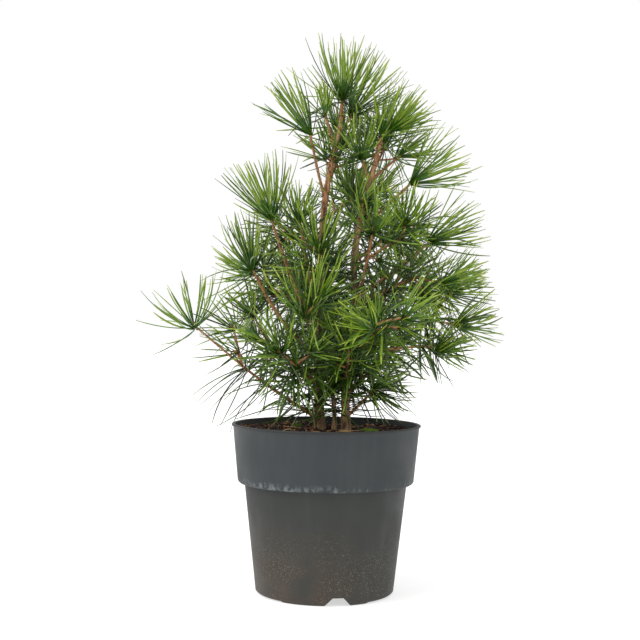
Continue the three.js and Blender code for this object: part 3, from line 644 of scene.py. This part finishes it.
def bark_look():
    """Bark that is brown at the foot, olive in the middle and orange-brown near the top."""
    look = Look("trunk_bark", "6a4c30", 0.85)
    plates = look.spots(300, 6, (1, 1, 0.24))
    wander = look.times(look.maths("SUBTRACT", plates, 0.5), 0.35)
    stops = [(0.0, "8c7050"), (0.2, "7c674a"), (0.5, "6c5c3e"), (0.66, "7e6646"), (0.78, "aa774e"),
             (1.0, "b67c52")]
    base = look.ramp(look.maths("ADD", look.level(160, 480), wander), stops)
    base = look.mix(look.band(plates, 0.53, 0.64, 0.0, 0.7), base, "c09c76")
    base = look.mix(look.band(plates, 0.48, 0.38, 0.0, 0.75), base, "2b1d14")
    look.wear(Base_Color=base)
    look.bump(plates, 0.0018)
    return look.material


def limb_look(name, code):
    """Thin bark of one colour, with darker cracks."""
    look = Look(name, code, 0.7)
    cracks = look.spots(520, 4, (1, 1, 0.5))
    look.wear(Base_Color=look.mix(look.band(cracks, 0.5, 0.38, 0.0, 0.75), code, "3e2618"))
    look.bump(cracks, 0.0006, 0.8)
    return look.material


def leaf_look(name, code):
    return Look(name, code, 0.3, Specular_IOR_Level=0.4).material


def plain_look(name, code):
    """One dull colour with a fine grain."""
    look = Look(name, code, 0.9)
    look.bump(look.spots(900, 3), 0.0004, 0.7)
    return look.material


# Growth, by the rule of the solids carried to more and finer needles

ROUTES = {name: smooth_route(trunk["bends"]) for name, trunk in TRUNKS.items()}
TRUNK_POINTS = np.concatenate([route.at(np.linspace(0, 1, 110)) for route in ROUTES.values()])


def share_at_height(route, height):
    return float(np.interp(height, route.points[:, 2], route.shares))


def trunk_radius(name, share):
    trunk = TRUNKS[name]
    flare = 1 + FLARE * np.exp(-share * ROUTES[name].length / FLARE_HEIGHT)
    return lerp(trunk["foot"], trunk["tip"], share) * flare


TRUNK_RADII = np.concatenate([trunk_radius(name, np.linspace(0, 1, 110)) for name in TRUNKS])


def branch_route(branch):
    trunk = ROUTES[branch["trunk"]]
    if "height" not in branch:
        return shoot_route(trunk.at(1.0), trunk.along(1.0), branch["reach"])
    start = trunk.at(share_at_height(trunk, branch["height"]))
    way = direction(branch["heading"], branch["rise"])
    return shoot_route(start, way, branch["reach"], 2 * branch.get("sag", 0))


def limb_radius(branch, share):
    if "height" not in branch:
        return lerp(TRUNKS[branch["trunk"]]["tip"], LIMB_TIP, share)
    return lerp(max(LIMB_LEAST, LIMB_RADIUS * branch["reach"] / 100), LIMB_TIP, share)


def whorl_on(route, share, age, **more):
    """A whorl on a route, at a share of its length."""
    return dict(at=route.at(share), along=route.along(share), age=age, **more)


def growth(branch):
    """A branch's route, its whorls, and the twigs that its last whorl sends out."""
    route = branch_route(branch)
    shoots = branch.get("shoots", [])
    young = dict(age="young", fan=branch.get("fan", WIDE), dense=branch.get("dense", 1))
    older = dict(age="old", wide=OLDER_WIDE)
    whorls = [whorl_on(route, share, **older, dense=OLDER_DENSE) for share in branch.get("olders", [])]
    hub = dict(at=route.at(1.0), along=lifted(route.along(1.0)))
    if "faces" in branch:
        hub["along"] = direction(*branch["faces"])
    grown_past = shoots and "faces" not in branch
    whorls.append({**(older if grown_past else young), **hub})
    twigs = []
    for heading, rise, reach, *own in shoots:
        own = dict(*own)
        way = direction(heading, rise)
        twigs.append(shoot_route(hub["at"], way, reach))
        faces = direction(*own["faces"]) if "faces" in own else lifted(way)
        dense = young["dense"] * own.get("dense", 1)
        end = hub["at"] + way * reach
        whorls.append(dict(young, at=end, along=faces, size=own.get("size", 1), dense=dense))
    return route, whorls, twigs


def lifted(along):
    return unit(along + UP * LIFT)


def side_shoots(branch, route, chance):
    """Fine shoots on the leafy part of a branch, each with a small whorl at its end."""
    low = branch.get("bough", SIDE_FROM)
    leafy = route.length * (SIDE_TO - low)
    if leafy < SIDE_LEAST or "olders" in branch:
        return []
    total = round(leafy / SIDE_EVERY)
    shoots = []
    for i in range(total):
        share = lerp(low, SIDE_TO, (i + 0.5) / total)
        turn = i * GOLDEN + branch["seed"]
        way = tilted(route.along(share), SIDE_TILT + vary(SIDE_VARY, chance), turn)
        reach = SIDE_REACH + vary(SIDE_VARY, chance)
        end = route.at(share) + way * reach
        twig = shoot_route(route.at(share), way, reach, sag=1, fine=8)
        shoots.append((twig, dict(at=end, along=lifted(way), age="side")))
    return shoots


def inner_whorls(branch, route):
    """Older whorls on the inner part of a twiggy branch."""
    if "bough" in branch or route.length < INNER_LEAST:
        return []
    return [whorl_on(route, share, "inner") for share in INNER_SHARES]


def trunk_whorl(name, height, age):
    """A whorl whose needles stand on a trunk's bark."""
    share = share_at_height(ROUTES[name], height)
    return whorl_on(ROUTES[name], share, age, out=trunk_radius(name, share) - NEEDLE_SUNK)


def shade_of(whorl):
    """From 0, deep in the crown or near its foot, to 1 on the shoots at the top and outside."""
    x, y, z = whorl["at"]
    outward = hypot(x - CROWN_MIDDLE, y) / np.interp(z, CROWN_HEIGHTS, CROWN_REACHES)
    upward = (z - CROWN_LOW) / (CROWN_HIGH - CROWN_LOW)
    young = SHADE_OF_AGE.get(whorl["age"], 0.0)
    return float(np.clip(young + SHADE_OUTWARD * outward + SHADE_UPWARD * upward, 0, 1))


def in_free_air(points):
    """True where a needle misses the trunks, the soil and the pot."""
    away = np.linalg.norm(TRUNK_POINTS[None] - points[2:, None], axis=2)
    if (away < TRUNK_RADII[None] + TRUNK_CLEAR).any():
        return False
    out = np.hypot(points[:, 0], points[:, 1])
    lowest = np.where(out < INSIDE_RADIUS, LOWEST_INSIDE, LOWEST_OVER_LIP)
    lowest = np.where(out > OUTSIDE_RADIUS, LOWEST_OUTSIDE, lowest)
    return bool((points[:, 2] > lowest).all())


def needle_line(whorl, length, i, share, attempt, chance):
    """One needle's points and the way it is wide. Each try turns it further aside."""
    rule = WHORLS[whorl["age"]]
    stem = whorl["along"]
    aside = (attempt + 1) // 2 * ASIDE * (1 if attempt % 2 else -1)
    tilt = lerp(rule["low"], rule.get("high", whorl.get("fan")), share) + vary(NEEDLE_VARY, chance)
    turn = i * GOLDEN + vary(NEEDLE_VARY, chance) + aside
    out = tilted(stem, tilt, turn)
    long = length * rule["size"] * whorl.get("size", 1) * lerp(SHORTEST, LONGEST, next(chance))
    long *= lerp(INNERMOST, OUTERMOST, share)
    edge = unit(np.cross(out, stem))
    twist = radians(vary(TWIST, chance))
    wide = edge * cos(twist) + np.cross(out, edge) * sin(twist)
    start = whorl["at"] + out * whorl.get("out", ROOT_DEPTH) - stem * rule["depth"] * share
    middle = start + tilted(stem, tilt * OPENING, turn) * long / 2
    bend = stem * (rule["bend"] + vary(BEND_VARY, chance)) + edge * vary(CURL, chance)
    droop = (rule["droop"] + vary(BEND_VARY, chance)) * (1 - attempt / TRIES)
    end = start + unit(out + bend - UP * droop) * long
    return bent_points(start, middle, end, NEEDLE_STEPS), wide


def needle_rows(whorl, length, chance):
    """The needles of a whorl: each one's points, the way it is wide, and its width."""
    count = round(WHORLS[whorl["age"]]["count"] * whorl.get("dense", 1))
    width = NEEDLE_WIDTH * whorl.get("wide", 1)
    rows = []
    for i in range(count):
        share = sqrt((i + 0.5) / count)
        for attempt in range(TRIES):
            points, wide = needle_line(whorl, length, i, share, attempt, chance)
            if in_free_air(points):
                rows.append((points, wide, width * (1 + vary(WIDTH_VARY, chance))))
                break
    return rows


def add_needles(heap, rows):
    """Flat needles with a groove on either face, narrowed at the root and blunt at the tip."""
    points, wide, width = (np.array(part) for part in zip(*rows))
    wide, width = wide[:, None], width[:, None, None, None]
    along = np.gradient(points, axis=1)
    along /= np.linalg.norm(along, axis=2)[..., None]
    over = np.cross(wide, along)
    over /= np.linalg.norm(over, axis=2)[..., None]
    wide = np.cross(along, over)
    share = np.linspace(0, 1, NEEDLE_STEPS + 1)
    taper = lerp(NEEDLE_ROOT, 1, smoothstep(share, 0, 0.3))
    taper *= lerp(1, NEEDLE_TIP, smoothstep(share, 0.8, 1))
    thick = lerp(1, NEEDLE_TIP_THICK, smoothstep(share, 0.6, 1))
    section = np.array(NEEDLE_SECTION)
    sides = len(section)
    corners = (
        points[:, :, None]
        + wide[:, :, None] * section[:, 0][:, None] * taper[:, None, None] * width / 2
        + over[:, :, None] * section[:, 1][:, None] * thick[:, None, None] * NEEDLE_THICK / 2
    )
    groups = ring_faces(NEEDLE_STEPS + 1, sides)
    offsets = np.arange(len(rows))[:, None, None] * (NEEDLE_STEPS + 1) * sides
    step = np.repeat(np.arange(NEEDLE_STEPS), sides)
    side = np.tile(np.arange(sides), NEEDLE_STEPS)
    # Painted light on the tip's step, and painted shade over the needle's own darker green on the root's
    # steps.
    look = np.where(step >= NEEDLE_STEPS - LIT_TIP_STEPS, LIT_TIP_FACE, BLADE_FACE)
    look = np.where(np.isin(side, UNDERSIDE), UNDER_FACE, look)
    look = np.where(step < ROOT_STEPS, ROOT_FACE, look)
    faces = [(group[None] + offsets).reshape(-1, group.shape[1]) for group in groups]
    heap.add(corners, faces, [np.tile(look, len(rows)), ROOT_FACE, LIT_TIP_FACE])


# Limbs, scale leaves and buds


def make_trunk(name, look):
    """A trunk in uneven bark: lumps, shallow ridges, and swellings where branches leave."""
    route = ROUTES[name]
    own = [branch for branch in BRANCHES if branch["trunk"] == name and "height" in branch]
    shares = np.linspace(0, 1, int(route.length / BARK_STEP) + 1)
    points = route.at(shares)
    radii = trunk_radius(name, shares)
    radii[-1] *= 0.8
    seed = 1 + ord(name)

    def relief(k, turns):
        height = points[k, 2]
        ring = np.ones(len(turns))
        for fine, up, depth in (BARK_LUMPS, BARK_RIDGES):
            level = height * up + seed
            spots = [Vector((cos(turn) * fine, sin(turn) * fine, level)) for turn in turns]
            ring += [depth * noise.noise(spot) for spot in spots]
        offs = [(height - branch["height"]) / KNOT_HEIGHT for branch in own]
        return ring * (1 + sum(KNOT_SWELL * exp(-(off**2)) for off in offs))

    heap = Heap()
    heap.add(*tube(points, radii, BARK_SIDES, relief))
    return heap.piece(f"bark_trunk_{name}", [look], "trunk_bark", [f"trunk_{name}"])


def add_limb(heap, route, radius_at, sides):
    """A rough limb along a route."""
    shares = np.linspace(0, 1, max(4, int(route.length / LIMB_STEP) + 1))
    points = route.at(shares)
    radii = np.array([radius_at(share) for share in shares])
    fine, depth = LIMB_LUMPS
    lumps = np.array([noise.noise(Vector(point * fine)) for point in points])
    heap.add(*tube(points, radii * (1 + depth * lumps), sides))


def add_scales(heap, route, radius_at, chance, low, high, every=3.4, size=1.0):
    """Small pointed scale leaves that lie along a limb, in a spiral."""
    total = int(route.length * (high - low) / every)
    for i in range(total):
        share = low + (high - low) * (i + 0.5) / total
        along = route.along(share)
        at = route.at(share)
        out = tilted(along, 90, i * GOLDEN + vary(20, chance))
        side = np.cross(along, out)
        radius = radius_at(share)
        long = (SCALE_LONG + vary(SCALE_VARY, chance)) * size
        half = SCALE_HALF * size
        root = at + out * (radius - 0.25)
        tip = at + along * long + out * (radius + 0.75 * size + vary(0.3, chance))
        ridge = at + along * long * 0.35 + out * (radius + 0.5 * size)
        heap.add([root - side * half, root + side * half, ridge, tip],
                 [[(0, 1, 2), (1, 3, 2), (3, 0, 2), (1, 0, 3)]])


def add_bud(heap, whorl):
    """A pointed bud in the middle of a whorl."""
    start = whorl["at"] - whorl["along"] * 1.5
    points = [start + whorl["along"] * share * BUD_LONG for share, _ in BUD]
    heap.add(*tube(points, [radius for _, radius in BUD], 8))


# Soil


def ground_height(x, y):
    """Height of the compost's surface, from the rule of its solid."""
    rough = smoothstep(np.hypot(x, y), SOIL_FLAT, SOIL_WAVY)
    wave = np.sin(x / SOIL_WAVES[0]) * np.cos(y / SOIL_WAVES[1]) - x / SOIL_SLOPE
    return SOIL_TOP + rough * SOIL_WAVE * wave


def make_soil(look):
    ledge = COLLAR_FROM + COLLAR_ROUND
    edge = SOIL_TOP - 3
    edge_share = (edge - ledge) / (POT_HEIGHT - ledge)
    edge_radius = lerp(COLLAR_FOOT_RADIUS, COLLAR_TOP_RADIUS, edge_share) - POT_WALL - SOIL_CLEAR
    inside = POT_WALL + SOIL_CLEAR
    profile = [
        (0, inside),
        (BASE_RADIUS - FLOOR_INSET - SOIL_CLEAR, inside),
        (BODY_TOP_RADIUS - inside, ledge),
        (COLLAR_FOOT_RADIUS - inside, ledge + 1.4),
        (edge_radius, edge),
    ]
    profile += [(radius, SOIL_TOP) for radius in np.linspace(edge_radius, 0, SOIL_RINGS)]
    corners, faces = lathe(profile, SOIL_SIDES)
    for k in np.nonzero(corners[:, 2] > SOIL_TOP - 0.5)[0]:
        x, y, _ = corners[k]
        crumbs = noise.fractal(Vector((x / CRUMBS[0], y / CRUMBS[0], 0.0)), 1.0, 2.0, 3)
        lumps = noise.noise(Vector((x / LUMPS[0], y / LUMPS[0], 5.0)))
        corners[k, 2] = ground_height(x, y) + CRUMBS[1] * crumbs + LUMPS[1] * lumps
    soil = plain_object("compost", corners, faces)
    for heading in CHANNELS:
        combine(soil, channel_shape(heading, inside), "DIFFERENCE")
    coat(soil, look)
    return dress(soil, ["soil"])


def on_ground(x, y, above):
    return np.array([x, y, ground_height(x, y) + above])


def ground_spots(total, seed, inner, outer):
    """Seeded places on the soil that keep off the trunks' feet."""
    rng = random.Random(seed)
    feet = [trunk["bends"][0] for trunk in TRUNKS.values()]
    spots = []
    while len(spots) < total:
        out = sqrt(rng.uniform(inner**2, outer**2))
        turn = rng.uniform(0, 2 * pi)
        x, y = out * cos(turn), out * sin(turn)
        if all(hypot(x - foot[0], y - foot[1]) > FOOT_CLEAR for foot in feet):
            spots.append((x, y, rng))
    return spots


def add_chip(heap, at, rng, long, wide, thick, lean):
    """A splintered flake of bark: a flat box with uneven corners."""
    heading = rng.uniform(0, 2 * pi)
    along = unit(np.array([cos(heading), sin(heading), rng.uniform(-lean, lean)]))
    across = unit(np.cross(UP + RIGHT * rng.uniform(-lean, lean), along))
    over = np.cross(along, across)
    corners = []
    for x in (-0.5, -0.1, 0.5):
        narrow = rng.uniform(0.45, 1.0)
        for y, z in ((-0.5, -0.5), (0.5, -0.5), (0.5, 0.5), (-0.5, 0.5)):
            jitter = np.array([rng.uniform(-0.12, 0.12) for _ in range(3)])
            x_at, y_at, z_at = np.array([x, y * narrow, z]) + jitter
            corners.append(at + along * x_at * long + across * y_at * wide + over * z_at * thick)
    heap.add(corners, ring_faces(3, 4))


def make_chips(tone, code, total, seed, sizes, lift):
    heap = Heap()
    for x, y, rng in ground_spots(total, seed, 0, 87):
        long = rng.uniform(*sizes)
        out = hypot(x, y)
        most = CHIPS_WITHIN - long / 2
        if out > most:
            x, y = x * most / out, y * most / out
        at = on_ground(x, y, lift) + UP * rng.uniform(-0.3, 0.8)
        add_chip(heap, at, rng, long, long * rng.uniform(0.3, 0.6), rng.uniform(0.5, 1.2), 0.35)
    look = plain_look(f"chip_{tone}", code)
    return heap.piece(f"chips_{tone}", [look], "soil", smooth=False)


def make_moss(look):
    """Low cushions of moss, as many small pointed tufts."""
    rng = random.Random(41)
    heap = Heap()
    for x, y, radius, total in MOSS:
        for _ in range(total):
            turn = rng.uniform(0, 2 * pi)
            out = radius * sqrt(rng.random())
            px = x + out * cos(turn)
            py = y + out * sin(turn) * 0.7
            high = (1 - (out / radius) ** 2) * 1.6
            at = on_ground(px, py, high)
            lean = np.array([rng.uniform(-0.7, 0.7), rng.uniform(-0.7, 0.7), 1.0])
            tip = at + unit(lean) * rng.uniform(1.4, 3.0)
            middle = (at + tip) / 2
            heap.add(*tube([at - UP, middle, tip], [0.5, 0.55, 0.1], 4))
    return heap.piece("moss", [look], "soil")


def make_straw(look):
    """A few dry stalks and needles that lie on the soil."""
    heap = Heap()
    for x, y, rng in ground_spots(STRAWS, 77, 8, 74):
        heading = rng.uniform(0, 2 * pi)
        reach = rng.uniform(9, 22)
        at = on_ground(x, y, 1.6)
        rise = rng.uniform(-0.6, 2.0)
        end = at + np.array([cos(heading) * reach, sin(heading) * reach, rise])
        if hypot(end[0], end[1]) > STRAW_WITHIN:
            end = at - (end - at) * [1, 1, -1]
        middle = (at + end) / 2 + UP * rng.uniform(0.5, 2.0)
        points = bent_points(at, middle, end, 10)
        heap.add(*tube(points, np.linspace(0.62, 0.4, len(points)), 6))
    return heap.piece("straw", [look], "soil")


# Pot


def arc(centre, radius, start, end, steps):
    """Profile points on an arc, its angles in degrees."""
    angles = np.radians(np.linspace(start, end, steps))
    return [(centre[0] + radius * cos(a), centre[1] + radius * sin(a)) for a in angles]


def sloped(start, end, first, steps):
    """Profile points on a line, from a first share of the way to its end."""
    return [(lerp(start[0], end[0], t), lerp(start[1], end[1], t)) for t in np.linspace(first, 1, steps)]


def pot_profile():
    """The pot's wall in section: up the outside, over the lip and down the inside."""
    ledge = COLLAR_FROM + COLLAR_ROUND
    under_lip = POT_HEIGHT - LIP_HEIGHT
    outside = [(0, 0), (30, 0), (BASE_RADIUS - BASE_ROUND - 4, 0)]
    outside += arc((BASE_RADIUS - BASE_ROUND, BASE_ROUND), BASE_ROUND, -90, -6, 7)
    outside += sloped((BASE_RADIUS, BASE_ROUND), (BODY_TOP_RADIUS, COLLAR_FROM), 0.04, 26)
    outside.append((BODY_TOP_RADIUS + 0.6, COLLAR_FROM - 0.1))
    outside += arc((COLLAR_FOOT_RADIUS - COLLAR_ROUND, ledge), COLLAR_ROUND, -84, -2, 8)
    outside += sloped((COLLAR_FOOT_RADIUS, ledge), (COLLAR_TOP_RADIUS, under_lip - 0.8), 0.06, 14)
    outside.append((COLLAR_TOP_RADIUS + 0.35, under_lip - 0.25))
    outside += arc((LIP_RADIUS - LIP_ROUND, POT_HEIGHT - LIP_ROUND), LIP_ROUND, -70, 90, 9)
    edge = (COLLAR_TOP_RADIUS - POT_WALL + LIP_EDGE, POT_HEIGHT - LIP_EDGE)
    outside += arc(edge, LIP_EDGE, 90, 180, 5)
    inside = sloped((COLLAR_TOP_RADIUS, POT_HEIGHT), (COLLAR_FOOT_RADIUS, ledge + 0.6), 0.1, 8)
    inside = [(radius - POT_WALL, height) for radius, height in inside]
    inside.append((BODY_TOP_RADIUS - POT_WALL, ledge - 0.6))
    inside.append((BASE_RADIUS - FLOOR_INSET, POT_WALL))
    return outside, [*inside, (0, POT_WALL)]


def lift_between_feet(corners):
    """The base stands on a few low feet: between them its edge is a little higher."""
    turns = np.degrees(np.arctan2(corners[:, 1], corners[:, 0])) + 90
    pitch = 360 / FOOT_COUNT
    off = np.abs((turns + pitch / 2) % pitch - pitch / 2)
    raised = smoothstep(off, FOOT_HALF, FOOT_HALF + 1.6)
    low = 1 - smoothstep(corners[:, 2], 0.4, 4.5)
    rim = smoothstep(np.hypot(corners[:, 0], corners[:, 1]), 44, 56)
    corners[:, 2] += FOOT_LIFT * raised * low * rim


def plain_object(name, corners, faces):
    heap = Heap()
    heap.add(corners, faces)
    return heap.mesh_object(name, [], False)


def coat(obj, look):
    """Gives a mesh one material and smooth faces."""
    obj.data.materials.clear()
    obj.data.materials.append(look)
    for face in obj.data.polygons:
        face.use_smooth = True


def channel_shape(heading, margin):
    """A drain channel along a radius, grown by a margin on its roof and sides."""
    low = CHANNEL_WIDTH_LOW / 2 + margin
    high = CHANNEL_WIDTH_HIGH / 2 + margin
    roof = CHANNEL_HEIGHT + margin
    section = [(-low, -POT_WALL), (low, -POT_WALL), (low, 0.4), (high, roof), (-high, roof), (-low, 0.4)]
    along = direction(heading, 0)
    across = np.cross(UP, along)
    rings = []
    for reach in (CHANNEL_INNER - margin, BODY_TOP_RADIUS):
        rings += [along * reach + across * side + UP * height for side, height in section]
    return plain_object("channel", rings, ring_faces(2, len(section)))


def combine(obj, other, operation):
    """Joins, cuts or intersects one closed mesh with another, which is then removed."""
    modifier = obj.modifiers.new(operation, "BOOLEAN")
    modifier.operation = operation
    modifier.object = other
    modifier.solver = "MANIFOLD"
    graph = bpy.context.evaluated_depsgraph_get()
    result = bpy.data.meshes.new_from_object(obj.evaluated_get(graph))
    obj.modifiers.clear()
    obj.data = result
    bpy.data.objects.remove(other)


def make_pot(look):
    outside, inside = pot_profile()
    corners, faces = lathe([*outside, *inside], POT_SIDES)
    lift_between_feet(corners)
    pot = plain_object("pot_shell", corners, faces)
    for heading in CHANNELS:
        envelope = plain_object("envelope", *lathe([*outside, (0, POT_HEIGHT)], POT_SIDES))
        roof = channel_shape(heading, POT_WALL)
        combine(roof, envelope, "INTERSECT")
        combine(pot, roof, "UNION")
        combine(pot, channel_shape(heading, 0), "DIFFERENCE")
        centre = direction(heading, 0) * DRAIN_FROM_CENTRE
        ends = [centre - UP * 9, centre + UP * 20]
        hole = plain_object("hole", *tube(ends, [DRAIN_RADIUS, DRAIN_RADIUS], 24))
        combine(pot, hole, "DIFFERENCE")
    coat(pot, look)
    pot.data.set_sharp_from_angle(angle=radians(POT_SHARP))
    return dress(pot, ["pot"])


# Plant


def tone_of(shade, chance):
    """The tone of one needle: bright at the outside and top, dark near the foot."""
    mixed = shade + vary(SHADE_VARY, chance)
    return next(tone for tone, least in TONE_LEASTS.items() if mixed > least)


class Plant:
    """The plant's boughs, twigs, scale leaves, buds and needles, gathered into pieces."""

    def __init__(self):
        self.limbs, self.twigs, self.scales, self.buds = Heap(), Heap(), Heap(), Heap()
        self.rows = {tone: [] for tone in NEEDLE_CODES}

    def leaf_out(self, whorl, length, chance):
        shade = shade_of(whorl)
        for row in needle_rows(whorl, length, chance):
            self.rows[tone_of(shade, chance)].append(row)

    def add_branch(self, branch):
        route, whorls, shoots = growth(branch)
        chance = stream(branch["seed"] + NEEDLE_SEEDS)
        more, over = LIMB_SWELL

        def radius_at(share):
            return limb_radius(branch, share) * (1 + more * exp(-share * route.length / over))

        add_limb(self.limbs, route, radius_at, LIMB_SIDES)
        add_scales(self.scales, route, radius_at, chance, min(0.12, 8 / route.length), 0.97)
        for shoot in shoots:
            add_limb(self.twigs, shoot, lambda at: lerp(TWIG_RADIUS, TWIG_TIP, at), TWIG_SIDES)
            add_scales(self.scales, shoot, lambda share: TWIG_TIP, chance, 0.1, 0.94)
        for shoot, whorl in side_shoots(branch, route, chance):
            add_limb(self.twigs, shoot, lambda share: TWIG_TIP, SHOOT_SIDES)
            self.leaf_out(whorl, branch["needle"], chance)
        for whorl in [*whorls, *inner_whorls(branch, route)]:
            self.leaf_out(whorl, branch["needle"], chance)
            if whorl["age"] == "young":
                add_bud(self.buds, whorl)
                if branch.get("skirt", True):
                    self.leaf_out({**whorl, "age": "skirt"}, branch["needle"], chance)

    def add_collar(self, collar):
        whorl = trunk_whorl(collar["trunk"], collar["height"], "collar")
        self.leaf_out(whorl, collar["needle"], stream(collar["seed"]))

    def add_to_trunk(self, name):
        """Scale leaves on a trunk's upper part, and older needles on its lower part."""
        route = ROUTES[name]
        chance = stream(ord(name))
        add_scales(self.scales, route, lambda share: trunk_radius(name, share), chance, **TRUNK_SCALES)
        for height in range(*TRUNK_WHORLS):
            if height < route.points[-1, 2]:
                whorl = trunk_whorl(name, height, "inner")
                self.leaf_out(whorl, TRUNK_WHORL_NEEDLE, stream(int(whorl["at"][2])))

    def pieces(self):
        masses = [f"needles_{mass['name']}" for mass in [*BRANCHES, *COLLARS]]
        boughs = [f"bough_{branch['name']}" for branch in BRANCHES if "bough" in branch]
        self.limbs.piece("bark_boughs", [limb_look("bough_bark", "9c6c44")], "bough_bark", boughs)
        self.twigs.piece("bark_twigs", [limb_look("twig_bark", "ae7a52")], "bough_bark", masses)
        self.scales.piece("scale_leaves", [limb_look("scale_bark", "b8976c")], "bough_bark", smooth=False)
        self.buds.piece("buds", [limb_look("bud_brown", "8c6a3e")], "bough_bark")
        for tone, codes in NEEDLE_CODES.items():
            heap = Heap()
            add_needles(heap, self.rows[tone])
            looks = [leaf_look(f"needle_{tone}_{part}", code) for part, code in codes.items()]
            heap.piece(f"needles_{tone}", looks, "needles", masses)


def make_plant():
    plant = Plant()
    for branch in BRANCHES:
        plant.add_branch(branch)
    for collar in COLLARS:
        plant.add_collar(collar)
    for name in TRUNKS:
        plant.add_to_trunk(name)
    plant.pieces()


make_pot(pot_look())
make_soil(soil_look())
for tone, chips in CHIPS.items():
    make_chips(tone, **chips)
make_moss(plain_look("moss_green", "6f8a2c"))
make_straw(plain_look("straw_pale", "b08f62"))
for name in TRUNKS:
    make_trunk(name, bark_look())
make_plant()


# Stage, light and camera


def make_stage():
    mesh = bpy.data.meshes.new("floor")
    corners = [(x * FLOOR_HALF, y * FLOOR_HALF, 0) for x, y in ((-1, -1), (1, -1), (1, 1), (-1, 1))]
    mesh.from_pydata(corners, [], [(0, 1, 2, 3)])
    mesh.materials.append(Look("floor_pale", (0.5, 0.5, 0.5), 0.9, Emission_Strength=0.6).material)
    placed("floor", mesh)


def make_light():
    world = bpy.data.worlds.new("studio")
    world.use_nodes = True
    world.node_tree.nodes["Background"].inputs["Color"].default_value = (1, 1, 1, 1)
    bpy.context.scene.world = world
    for name, sun in SUNS.items():
        light = bpy.data.lights.new(name, "SUN")
        light.energy = sun["strength"]
        light.angle = radians(sun["spread"])
        towards = Vector(direction(sun["heading"], sun["rise"]))
        placed(name, light).rotation_euler = towards.to_track_quat("Z", "Y").to_euler()


def make_camera():
    data = bpy.data.cameras.new("camera")
    data.lens = CAMERA_LENS
    camera = placed("camera", data)
    camera.location = CAMERA_PLACE
    camera.rotation_euler = (radians(90), radians(CAMERA_ROLL), 0)
    bpy.context.scene.camera = camera


make_stage()
make_light()
make_camera()
bpy.context.scene.view_settings.view_transform = "Standard"
